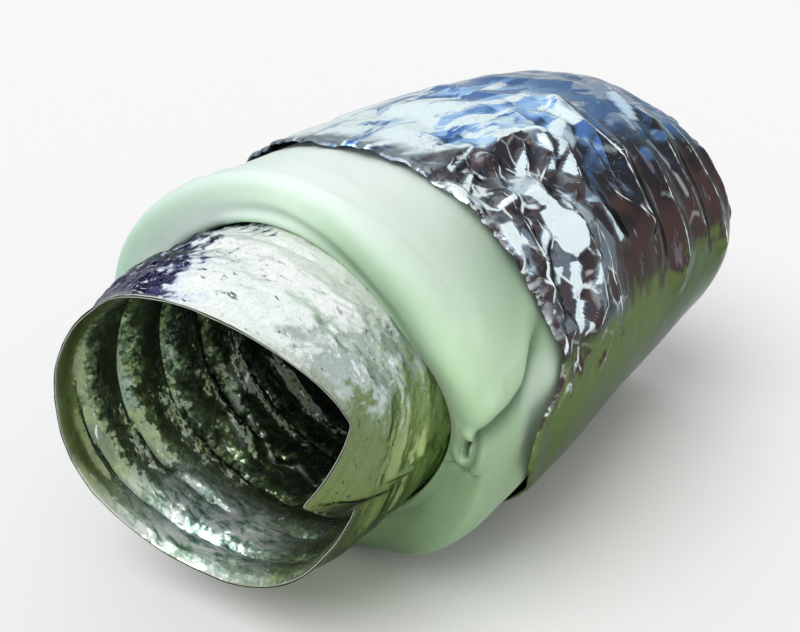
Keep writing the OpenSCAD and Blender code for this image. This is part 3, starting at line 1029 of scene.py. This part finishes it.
resting = jacket_radius(angle, s)
radius = resting + height + rolled
radius = radius - 1.8 * ease(1 - (rear_edge - s) / 9.0)
deepest = 1.8 + 1.2 * ease((back - 40) / 20.0)
radius = np.maximum(radius, resting - deepest)
a = np.radians(angle)
z = radius * np.sin(a)
bend = JACKET_BOTTOM + FLAT
z = np.where(z < bend, bend - FLAT * np.tanh((bend - z) / FLAT), z)
put(jacket, np.stack([-s, radius * np.cos(a), z], axis=-1))

below_top = ease((np.interp(s, *zip(*CRUSHED_TOP)) - wrapped) / 2.0)
note(
    jacket,
    crease=np.clip(crease * (1 - 0.75 * low), 0, 1),
    hem=np.exp(-back / 4.0) * (1 - 0.7 * low),
    front=near_front,
    gathered=gathered,
    line_near=line_near,
    line_side=line_side,
    line_width=line_width,
    tip=np.clip(tip, -1, 1),
    crushed=ease((218 - s) / 22.0) * below_top * ease((wrapped - 8) / 6.0),
)
roll_up(jacket)
thicken(jacket, 0.25)
smooth(jacket)

# %% [markdown]
# ## Materials
#
# Shader maths reads best as ordinary sums, so a small class wraps a socket and lets Python's own
# operators add the Math nodes. Every other node is made by one method, which sets the node up
# first and then fills its sockets with numbers, colours or links.

# %% Numbers in a node tree
class Value:
    """One number in a node tree, with the usual operators."""

    def __init__(self, finish, socket):
        self.finish = finish
        self.socket = socket

    def math(self, operation, other=0.0, third=0.0):
        sockets = {0: self, 1: other, 2: third}
        return self.finish.node("ShaderNodeMath", {"operation": operation}, sockets).value(0)

    def __add__(self, other):
        return self.math("ADD", other)

    __radd__ = __add__

    def __sub__(self, other):
        return self.math("SUBTRACT", other)

    def __rsub__(self, other):
        return self * -1.0 + other

    def __mul__(self, other):
        return self.math("MULTIPLY", other)

    __rmul__ = __mul__

    def between(self, low, high):
        """0 at low and below, 1 at high and above."""
        return ((self - low) * (1.0 / (high - low))).math("MINIMUM", 1.0).math("MAXIMUM", 0.0)


class Made:
    """A node that has been set up."""

    def __init__(self, finish, node):
        self.finish = finish
        self.made = node

    def out(self, name):
        return self.made.outputs[name]

    def value(self, name):
        return Value(self.finish, self.made.outputs[name])


# %% [markdown]
# A finish starts with a base colour, and each further colour is laid over it through a mask, as a
# painter glazes. Creased film also needs facets that are too small to model. Voronoi cells give
# them: each cell leans its own way, so its height is a slope times the place inside the cell.

# %% Finishes
EVEN = (1.0, 1.0, 1.0)
MOST_TILT = 32.0  # degrees that a facet's tilt may shift its colour round the duct


class Finish:
    """A material for one piece, or another node tree. Its colour grows by tints."""

    def __init__(self, name, tree=None):
        if tree is None:
            self.material = bpy.data.materials.new(name)
            self.material.use_nodes = True
            tree = self.material.node_tree
        self.tree = tree
        self.colour = None

    def node(self, kind, settings, sockets):
        made = self.tree.nodes.new(kind)
        for name, setting in settings.items():
            if name == "stops":
                elements = made.color_ramp.elements
                while len(elements) < len(setting):
                    elements.new(0.5)
                for element, (position, colour) in zip(elements, setting):
                    element.position = position
                    element.color = (*colour, 1.0)
            else:
                setattr(made, name, setting)
        self.fill(made, sockets)
        return Made(self, made)

    def fill(self, made, sockets):
        for name, given in sockets.items():
            given = given.socket if isinstance(given, Value) else given
            if isinstance(given, bpy.types.NodeSocket):
                self.tree.links.new(given, made.inputs[name])
            elif isinstance(given, tuple) and len(given) == 3 and made.inputs[name].type == "RGBA":
                made.inputs[name].default_value = (*given, 1.0)
            else:
                made.inputs[name].default_value = given

    def place(self):
        return self.node("ShaderNodeTexCoord", {}, {}).out("Object")

    def scaled(self, scale):
        sockets = {"Vector": self.place(), "Scale": scale}
        return self.node("ShaderNodeMapping", {}, sockets).out("Vector")

    def xyz(self, vector):
        return self.node("ShaderNodeSeparateXYZ", {}, {0: vector})

    def noise(self, scale, detail=4.0, rough=0.55, bend=0.0):
        """Noise with so many waves a metre along X, Y and Z."""
        sockets = {"Vector": self.scaled(scale), "Scale": 1.0, "Detail": detail}
        sockets.update({"Roughness": rough, "Distortion": bend})
        return self.node("ShaderNodeTexNoise", {}, sockets).value("Fac")

    def noted(self, name):
        """The numbers that were noted at the piece's corners."""
        return self.node("ShaderNodeAttribute", {"attribute_name": name}, {}).value("Fac")

    def ramp(self, value, stops):
        return self.node("ShaderNodeValToRGB", {"stops": stops}, {"Fac": value}).out("Color")

    def ramp_round(self, degrees, stops):
        """A ramp whose stops are angles from -180 to 180 degrees."""
        stops = [((angle + 180.0) / 360.0, colour) for angle, colour in stops]
        return self.ramp((degrees + 180.0) * (1.0 / 360.0), stops)

    def tint(self, amount, colour):
        """Lay a colour over the finish where the amount is 1."""
        sockets = {0: amount, 6: self.colour, 7: colour}
        self.colour = self.node("ShaderNodeMix", {"data_type": "RGBA"}, sockets).out(2)

    def bump(self, height, strength, distance):
        sockets = {"Height": height, "Strength": strength, "Distance": distance}
        return self.node("ShaderNodeBump", {}, sockets).out("Normal")

    def cells(self, size, spread, feature="F1"):
        """Small flat cells, with their size in metres."""
        sockets = {"Vector": self.scaled(tuple(s / size for s in spread)), "Scale": 1.0}
        return self.node("ShaderNodeTexVoronoi", {"feature": feature}, sockets)

    def vector(self, operation, first, second):
        return self.node("ShaderNodeVectorMath", {"operation": operation}, {0: first, 1: second})

    def flat_facets(self, size, spread=EVEN):
        """A height made of small flat facets, each leaning its own way."""
        cells = self.cells(size, spread)
        lean = self.vector("SUBTRACT", cells.out("Color"), (0.5, 0.5, 0.5)).out(0)
        place = self.scaled(tuple(s / size for s in spread))
        inside = self.vector("SUBTRACT", place, cells.out("Position")).out(0)
        return self.vector("DOT_PRODUCT", lean, inside).value("Value")

    def facet_tones(self, size, spread):
        """A number from 0 to 1 that is the same all over each facet."""
        return self.xyz(self.cells(size, spread).out("Color")).value("X")

    def facet_edges(self, size, spread):
        """How far a place lies from the border of its facet, as a share of the facet's size."""
        return self.cells(size, spread, "DISTANCE_TO_EDGE").value("Distance")

    def facing(self, normal, gain):
        """Where round the duct a place lies and how far it is tilted from there, in degrees."""
        n = self.xyz(normal)
        p = self.xyz(self.place())
        faced = n.value("Z").math("ARCTAN2", n.value("Y")) * 57.3
        here = p.value("Z").math("ARCTAN2", p.value("Y")) * 57.3
        tilt = (faced - here).math("WRAP", 180.0, -180.0) * gain + n.value("X") * 8.0 * gain
        return here, tilt.math("MINIMUM", MOST_TILT).math("MAXIMUM", -MOST_TILT)

    def dress(self, piece, **sockets):
        """Put the finish on the piece. The sockets are the shader's, with _ for a space."""
        shader = self.tree.nodes["Principled BSDF"]
        named = {name.replace("_", " "): given for name, given in sockets.items()}
        self.fill(shader, {"Base Color": self.colour, **named})
        piece.data.materials.clear()
        piece.data.materials.append(self.material)
        print(self.material.name, "is made with", len(self.tree.nodes), "nodes")


# %% [markdown]
# ## Bright film
#
# Metallised film is a mirror that has been folded many times. Each facet shows another part of
# the surroundings: sky from above, walls and trunks from the side, grass from below. A real
# mirror would need all of that built round the duct. It is quicker, and steadier in any light, to
# paint these reflections into the base colour, picked by the way a facet faces: the angle where it
# lies, plus its own tilt from there, made stronger as a mirror makes it.

# %% Jacket film: which way each place faces
film = Finish("jacket_film")
facets = film.flat_facets(0.011, (1.0, 0.8, 0.8)) * 0.6 + film.flat_facets(0.0036) * 0.25
quiet = film.noise((35, 35, 35), 2).between(0.35, 0.65)
crinkle = facets * (film.noted("front") * 0.8 + 0.2) * (quiet * 0.7 + 0.3)
normal = film.bump(crinkle, 1.0, 0.0018)
here, tilt = film.facing(normal, 1.5)
drift = film.noise((30, 60, 60), 4, 0.6, 0.4) - 0.5
smear = film.noise((150, 26, 26), 4, 0.6) - 0.5
lower = 1 - here.between(24.0, 44.0)
patch = film.facet_tones(0.03, (1.5, 0.45, 0.45)) - 0.5
patch = patch * (1 - film.noted("front"))
patch = patch * here.between(22.0, 38.0) * (1 - here.between(118.0, 146.0))
faces = here + tilt + drift * 24.0 + patch * 22.0
faces = faces + lower * (smear * 26.0 - drift * 14.0 - tilt * 0.6)
faces = faces.math("MAXIMUM", here.between(10.0, 20.0) * 195.0 - 180.0)
print("jacket facets shift the colour by up to", MOST_TILT, "degrees")

# %% Jacket film: painted reflections of the surroundings
JACKET_SURROUNDINGS = [
    (-180, (0.16, 0.20, 0.30)),
    (-125, (0.09, 0.10, 0.13)),
    (-90, (0.050, 0.072, 0.034)),
    (-40, (0.110, 0.160, 0.042)),
    (0, (0.138, 0.198, 0.050)),
    (9, (0.130, 0.175, 0.060)),
    (14, (0.060, 0.042, 0.036)),
    (24, (0.066, 0.038, 0.036)),
    (38, (0.026, 0.021, 0.024)),
    (50, (0.022, 0.025, 0.034)),
    (58, (0.045, 0.080, 0.150)),
    (66, (0.100, 0.220, 0.480)),
    (80, (0.300, 0.520, 0.900)),
    (96, (0.480, 0.720, 1.000)),
    (118, (0.650, 0.840, 1.000)),
    (132, (0.100, 0.170, 0.360)),
    (150, (0.120, 0.160, 0.280)),
    (180, (0.160, 0.200, 0.300)),
]
DEEP_SKY = (0.045, 0.120, 0.430)
CLOUD = (0.86, 1.0, 1.0)
REAR_SKY = (0.055, 0.125, 0.270)
REAR_GRASS = (0.040, 0.060, 0.022)
PALE_STREAK = (0.26, 0.25, 0.30)

film.colour = film.ramp_round(faces, JACKET_SURROUNDINGS)
# Painted reflections: deep sky and white clouds along the top, sky and grass at the rear, and pale streaks
# low on the sides.
on_top = faces.between(60.0, 74.0) * (1 - faces.between(120.0, 132.0))
along = film.xyz(film.place()).value("X") * -1.0
further = along.between(0.13, 0.24)
deep = (film.noise((16, 60, 60), 4, 0.5, 1.0) + further * 0.10).between(0.59, 0.62)
film.tint(deep * on_top * 0.85, DEEP_SKY)
cloud = (film.noise((18, 50, 50), 5, 0.55, 1.2) - further * 0.14).between(0.40, 0.43)
film.tint(cloud * on_top * 0.92, CLOUD)
rear = (along + drift * 0.04).between(0.235, 0.265)
rear_top = rear * faces.between(54.0, 68.0) * (1 - faces.between(110.0, 150.0))
film.tint(rear_top * 0.8, REAR_SKY)
rear_side = rear * faces.between(-150.0, -90.0) * (1 - faces.between(2.0, 12.0))
film.tint(rear_side * 0.5, REAR_GRASS)
streaks = smear.between(0.08, 0.13) * faces.between(12.0, 22.0) * (1 - faces.between(60.0, 80.0))
film.tint(streaks * 0.4, PALE_STREAK)
print(len(JACKET_SURROUNDINGS), "colours round the jacket")

# %% [markdown]
# Where the jacket was crushed, each facet gets its own painted reflection, dark or bright, and
# the bright ones are those that tip up towards the sky. Between them thin veins get a pale
# painted highlight.

# %% Jacket film: crushed facets
CRUSHED_TONES = [
    (0.16, (0.030, 0.027, 0.032)),
    (0.30, (0.080, 0.056, 0.060)),
    (0.42, (0.060, 0.064, 0.080)),
    (0.53, (0.160, 0.190, 0.220)),
    (0.60, (0.120, 0.185, 0.270)),
    (0.66, (0.340, 0.450, 0.520)),
    (0.72, (0.800, 0.930, 0.960)),
]
FLASH = (0.62, 0.80, 0.92)
VEIN_HIGHLIGHT = (0.80, 0.90, 0.92)
FACET = 0.013
FACET_SPREAD = (1.1, 0.65, 0.65)

shard = film.facet_tones(FACET, FACET_SPREAD)
tipped = tilt * 0.004 + shard * 0.42 + film.noted("tip") * 0.65 + drift * 0.2 + 0.16
crushed_tone = film.ramp(tipped, CRUSHED_TONES)
crushed = film.noted("crushed")
film.tint(crushed * 0.95, crushed_tone)
flash = film.noted("tip").math("MAXIMUM", 0.0)
film.tint(flash * (1 - crushed), FLASH)
# A pale painted highlight along the borders of the small facets.
borders = 1 - film.facet_edges(FACET, FACET_SPREAD).between(0.02, 0.06)
vein_highlights = borders * film.noise((70, 70, 70), 3).between(0.47, 0.53) * film.noted("front")
vein_highlights = vein_highlights * faces.between(4.0, 14.0) * (1 - here.between(60.0, 74.0))
film.tint(vein_highlights * 0.9, VEIN_HIGHLIGHT)
print("crushed facets of about", FACET / MM, "mm")

# %% [markdown]
# Long creases and the torn hem get a pale painted highlight along a line, broken here and there.
# Between the gathers of the front edge the film gets a painted shade.

# %% Jacket film: painted highlights on creases and hem, painted shade between gathers
CREASE_HIGHLIGHT = (0.86, 0.96, 0.97)
HEM_HIGHLIGHT = (0.80, 0.90, 0.90)
GATHER_SHADE = (0.03, 0.05, 0.09)

# A pale painted highlight along the long creases and the marked creases.
uneven = film.noise((150, 150, 150), 3, 0.6) - 0.5
across = film.noted("line_side").math("ABSOLUTE") + uneven * 2.0
whole = film.noise((45, 45, 45), 2).between(0.42, 0.58)
width = (film.noted("line_width") + 0.35) * whole - 0.3
line = 1 - (across - width).between(0.0, 0.45)
line = line * (1 - film.noted("line_near").between(1.8, 2.6))
crease_highlight = film.noted("crease").between(0.45, 0.9) * film.noise((90, 90, 90), 3).between(0.46, 0.56)
crease_highlight = (crease_highlight * 0.55).math("MAXIMUM", line * faces.between(-4.0, 6.0))
film.tint(crease_highlight * 0.95, CREASE_HIGHLIGHT)
# A pale painted highlight along the torn hem.
torn = film.noted("hem") * film.noise((200, 200, 200), 4, 0.65).between(0.52, 0.56) * 0.9
torn = torn * faces.between(-2.0, 12.0) * (1 - here.between(66.0, 78.0) * 0.7)
torn = torn * (here.between(36.0, 52.0) * 0.4 + 0.6)
film.tint(torn * 0.9, HEM_HIGHLIGHT)
shaded = film.noted("gathered").between(0.2, 0.45) * here.between(64.0, 76.0)
film.tint(shaded * 0.8, GATHER_SHADE)
film.dress(
    jacket,
    Metallic=0.85 - cloud * on_top * 0.45,
    Roughness=0.2,
    Specular_Tint=(0.5, 0.55, 0.55),
    Normal=normal,
)

# %% [markdown]
# The core's outer film is crinkled much finer than the jacket, and its colour is likewise a painted
# reflection, picked by the way each place faces. It is painted bright on the side that faces the
# light, and olive below, with dark flecks, small painted glints, a painted shade in the groove
# beside the wire and a painted highlight along the cut rim.

# %% Core outer film: which way each place faces
film = Finish("core_outer_film")
facets = film.flat_facets(0.0065, (1.3, 0.8, 0.8)) * 0.7 + film.flat_facets(0.0022) * 0.2
quiet = film.noted("fold") * 0.5 + film.noise((60, 60, 60), 2).between(0.35, 0.65) * 0.6 + 0.2
normal = film.bump(facets * quiet, 1.0, 0.0011)
here, tilt = film.facing(normal, 1.2)
drift = film.noise((70, 50, 50), 5, 0.65, 0.6) - 0.5
back = film.noted("depth").between(4.0, 44.0)
faces = here + tilt * (1 - film.noted("tongue") * 0.8) + drift * 30.0
faces = faces - back * faces.between(76.0, 88.0) * 15.0

# %% Core outer film: colours, with painted reflections, highlights and shade
CORE_SURROUNDINGS = [
    (-180, (0.035, 0.040, 0.055)),
    (-120, (0.050, 0.070, 0.035)),
    (-60, (0.085, 0.120, 0.042)),
    (-20, (0.150, 0.200, 0.070)),
    (4, (0.170, 0.235, 0.085)),
    (13, (0.175, 0.240, 0.100)),
    (19, (0.200, 0.270, 0.145)),
    (26, (0.480, 0.580, 0.530)),
    (37, (0.400, 0.480, 0.440)),
    (43, (0.520, 0.600, 0.560)),
    (50, (0.850, 0.930, 0.900)),
    (79, (0.940, 1.000, 0.980)),
    (88, (0.760, 0.850, 0.950)),
    (93, (0.090, 0.090, 0.200)),
    (101, (0.020, 0.020, 0.045)),
    (132, (0.050, 0.050, 0.110)),
    (180, (0.035, 0.040, 0.055)),
]
FLECK = (0.03, 0.07, 0.07)
GLINT = (0.86, 0.92, 0.97)
GROOVE_SHADE = (0.05, 0.075, 0.03)
LIT_GRASS = (0.52, 0.64, 0.27)
WHITE_SKY = (1.0, 1.0, 1.0)
ROLLED_EDGE = (0.20, 0.25, 0.12)
RIM_HIGHLIGHT = (0.86, 0.93, 0.88)
GAP_SHADE = (0.015, 0.02, 0.012)

film.colour = film.ramp_round(faces, CORE_SURROUNDINGS)
fleck = film.noise((420, 190, 190), 3, 0.6, 0.6) - back * faces.between(60.0, 76.0) * 0.06
bright_side = faces.between(40.0, 54.0) * (1 - faces.between(84.0, 92.0))
film.tint((1 - fleck.between(0.31, 0.37)) * 0.85, FLECK)
glint = film.noise((230, 110, 110), 3, 0.6, 0.5).between(0.58, 0.62) * (1 - bright_side)
film.tint(glint * faces.between(25.0, 38.0), GLINT)
# A painted shade in the groove beside the wire.
groove = film.noted("groove").between(0.5, 0.95) * (1 - faces.between(20.0, 34.0))
film.tint(groove * 0.2, GROOVE_SHADE)
# Further back: a painted reflection of lit grass below and of white sky on the bright side.
far = film.noted("depth").between(24.0, 54.0)
from_left = faces.between(-140.0, -80.0)
film.tint(far * (1 - faces.between(14.0, 34.0)) * from_left * 0.8, LIT_GRASS)
film.tint(far * faces.between(36.0, 50.0) * (1 - faces.between(84.0, 90.0)) * 0.8, WHITE_SKY)
rolled = (1 - film.noted("depth").between(2.0, 6.0)) * from_left * (1 - faces.between(44.0, 60.0))
film.tint(rolled * 0.6, ROLLED_EDGE)
# A painted highlight along the cut rim.
film.tint(film.noted("edge") * faces.between(36.0, 60.0) * 0.7, RIM_HIGHLIGHT)
# A painted shade in the narrow gap beside the folded tongue.
film.tint(film.noted("gap"), GAP_SHADE)
lit_side = faces.between(-10.0, 30.0) * (1 - faces.between(86.0, 96.0))
film.dress(
    outer_film,
    Metallic=1 - lit_side * (far * 0.25 + 0.5),
    Roughness=0.22,
    Specular_Tint=(0.4, 0.4, 0.45),
    Normal=normal,
)

# %% [markdown]
# ## Inside the core
#
# Light that enters the mouth is mirrored from wall to wall and loses some strength each time, so
# the tube darkens by itself towards the far end, and a painted shade darkens it further. The film
# there needs a fairly light olive colour, a painted shade line where it is pinched on the wire,
# and small painted glints.

# %% Core inner film: base colour and painted shade
OLIVE = [
    (0.28, (0.160, 0.210, 0.150)),
    (0.42, (0.240, 0.310, 0.190)),
    (0.52, (0.330, 0.410, 0.210)),
    (0.62, (0.240, 0.320, 0.240)),
    (0.78, (0.380, 0.470, 0.410)),
]
LIT_FLOOR = [(0.35, (0.10, 0.17, 0.13)), (0.46, (0.42, 0.61, 0.54)), (0.57, (0.95, 1.0, 1.0))]
PINCH_SHADE = (0.03, 0.045, 0.03)
DEEP_SHADE = (0.05, 0.065, 0.055)
DEEPEST_SHADE = (0.03, 0.04, 0.034)

film = Finish("core_inner_film")
facets = film.flat_facets(0.005, (1.2, 0.8, 0.8)) * 0.6 + film.flat_facets(0.002) * 0.35
normal = film.bump(facets * (film.noted("loose") * 0.85 + 0.15), 1.0, 0.0014)
depth = film.noted("depth")
tone = film.noise((45, 30, 30), 4, 0.6, 0.8) + (film.noise((150, 80, 80), 3) - 0.5) * 0.5
film.colour = film.ramp(tone, OLIVE)
below = film.noted("below")
film.tint(below, film.ramp(film.noise((260, 100, 100), 4, 0.65, 0.6), LIT_FLOOR))
# A painted shade along the creases pinched on the wire.
pinch_shade = film.noted("crease").between(0.55, 0.85)
film.tint(pinch_shade * 0.8, PINCH_SHADE)
# Painted shade that deepens towards the far end of the tube.
far = depth.between(42.0, 90.0) * (1 - below * 0.6)
film.tint(far * 0.6, DEEP_SHADE)
film.tint(depth.between(72.0, 115.0) * 0.6, DEEPEST_SHADE)

# %% Core inner film: glints and lip
INNER_GLINT = (0.75, 0.86, 0.84)
LIP = [(0.3, (0.12, 0.16, 0.055)), (0.7, (0.22, 0.27, 0.10))]
INNER_RIM_HIGHLIGHT = (0.75, 0.82, 0.72)

glint = film.noise((260, 80, 80), 3, 0.6, 0.8).between(0.655, 0.69)
patchy = film.noise((60, 60, 60), 2).between(0.52, 0.62)
bright = film.noted("fold").between(0.6, 0.95) * patchy * 0.4 + glint * 0.9
bright = bright + film.noted("ridge") * film.noise((120, 120, 120), 2).between(0.42, 0.56) * 0.9
film.tint(bright.math("MINIMUM", 1.0), INNER_GLINT)
film.tint(1 - film.noted("loose"), film.ramp(film.noise((260, 40, 40), 4, 0.6), LIP))
# A painted highlight along the cut rim.
film.tint(film.noted("edge"), INNER_RIM_HIGHLIGHT)
# A painted shade in the narrow gap beside the folded tongue.
film.tint(film.noted("gap"), GAP_SHADE)
behind_lip = depth.between(8.0, 13.0)
film.dress(
    inner_film,
    Metallic=behind_lip * 0.3 + 0.65 - below * 0.4 - film.noted("ridge") * 0.35,
    Roughness=0.2,
    Specular_Tint=(0.5, 0.5, 0.5),
    Normal=normal,
)

# %% [markdown]
# The wire is drawn spring steel, dull grey with a faint grain. It is seen only where a film is
# taken away.

# %% Wire finish
STEEL = [(0.3, (0.30, 0.30, 0.31)), (0.7, (0.45, 0.44, 0.43))]
steel = Finish("spring_wire")
steel.colour = steel.ramp(steel.noise((400, 400, 400), 3), STEEL)
steel.dress(wire, Metallic=1.0, Roughness=0.35)

# %% [markdown]
# ## Fibre
#
# The blanket is bonded polyester fibre: matt and pale. Its colour carries painted light and shade:
# white on top, with a cool green painted shade that deepens towards the underside and in the
# folds. The bump has a soft woolly part and a finer fibrous one.

# %% Blanket finish
FIBRE_AND_PAINTED_SHADE = [
    (0.00, (0.040, 0.060, 0.033)),
    (0.19, (0.105, 0.160, 0.080)),
    (0.38, (0.240, 0.365, 0.190)),
    (0.57, (0.470, 0.690, 0.440)),
    (0.76, (0.660, 0.880, 0.660)),
    (0.90, (0.820, 0.990, 0.870)),
    (1.00, (0.880, 1.000, 0.940)),
]
LEFT_SIDE_SHADE = (0.42, 0.64, 0.54)
RIGHT_SIDE_GREEN_SHADE = (0.60, 0.86, 0.52)
LIT_FIBRE = (0.88, 1.0, 0.94)
SHADED_FIBRE = (0.14, 0.24, 0.14)
HOLE_SHADE = (0.015, 0.03, 0.015)

fibre = Finish("blanket_fibre")
wool = fibre.noise((120, 120, 120), 6, 0.6)
hairs = fibre.noise((900, 900, 900), 3, 0.6)
cloud = fibre.noise((22, 22, 22), 5, 0.6)
n = fibre.xyz(fibre.node("ShaderNodeNewGeometry", {}, {}).out("Normal"))
place = fibre.xyz(fibre.place())
# Painted light and shade: lighter where the fibre faces up and lies high, darker and greener below.
level = n.value("Z") * 0.30 + place.value("Z") * 2.9 + 0.50 + (cloud - 0.5) * 0.22
fibre.colour = fibre.ramp(level, FIBRE_AND_PAINTED_SHADE)
# A cooler, darker painted shade on the -Y side.
left = (place.value("Y") * -1.0).between(0.0, 0.09)
fibre.tint(left * 0.62, LEFT_SIDE_SHADE)
# A greener painted shade on the +Y side, where the fibre faces that way.
right = place.value("Y").between(0.02, 0.1) * n.value("Y").between(-0.1, 0.6)
fibre.tint(right * 0.45, RIGHT_SIDE_GREEN_SHADE)
fibre.tint(fibre.noted("light"), LIT_FIBRE)
fibre.tint(fibre.noted("shade") * 0.85, SHADED_FIBRE)
# A painted shade in the hole of the rolled loop.
fibre.tint(fibre.noted("hole"), HOLE_SHADE)
fibre.dress(
    blanket,
    Roughness=0.95,
    Specular_IOR_Level=0.15,
    Sheen_Weight=0.2,
    Sheen_Roughness=0.5,
    Normal=fibre.bump(wool * 0.7 + hairs * 0.3, 0.35, 0.0015),
)

# %% [markdown]
# ## Seating the pieces
#
# Each new piece rides on the body that carries its solid and stands for it.

# %% Ride and replace
for piece, body, node in (
    (inner_film, "core", "inner_ply"),
    (wire, "core", "wire_helix"),
    (outer_film, "core", "outer_ply"),
    (blanket, "blanket", "insulation_blanket"),
    (jacket, "jacket", "jacket"),
):
    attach(piece, body)
    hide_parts(node)
    print(piece.name, "rides on", body, "and stands for", node)

# %% [markdown]
# ## Floor and light
#
# A pale floor under a broad, soft studio light. The world fills the shadows, and the camera sees
# it as plain white.

# %% Studio
bpy.ops.object.select_all(action="DESELECT")
bpy.ops.mesh.primitive_plane_add(size=8.0, location=(-0.15, 0, -0.1074))
floor = bpy.context.object
floor.name = "floor"
paper = Finish("floor_paper")
paper.colour = (0.98, 0.98, 0.98)
paper.dress(floor, Roughness=1.0, Specular_IOR_Level=0.0)

world = bpy.data.worlds.new("studio")
bpy.context.scene.world = world
world.use_nodes = True
sky = Finish("sky", world.node_tree)
ray = sky.node("ShaderNodeLightPath", {}, {})
seen = ray.value("Is Camera Ray") + ray.value("Is Glossy Ray") + ray.value("Is Transmission Ray")
FILL = 0.55
strength = seen.math("MINIMUM", 1.0) * (1.0 - FILL) + FILL
sky.fill(world.node_tree.nodes["Background"], {"Color": (1.0, 1.0, 1.0), "Strength": strength})

lamp_data = bpy.data.lights.new("broad_lamp", "SUN")
lamp_data.energy = 1.5
lamp_data.angle = math.radians(45)
lamp = bpy.data.objects.new("broad_lamp", lamp_data)
bpy.context.scene.collection.objects.link(lamp)
lamp.rotation_euler = Vector((-0.60, 0.12, -1.0)).to_track_quat("-Z", "Y").to_euler()

bpy.context.scene.view_settings.view_transform = "Standard"
print("floor", round(floor.location.z, 4), "m high, lamp", lamp_data.energy, "strong")
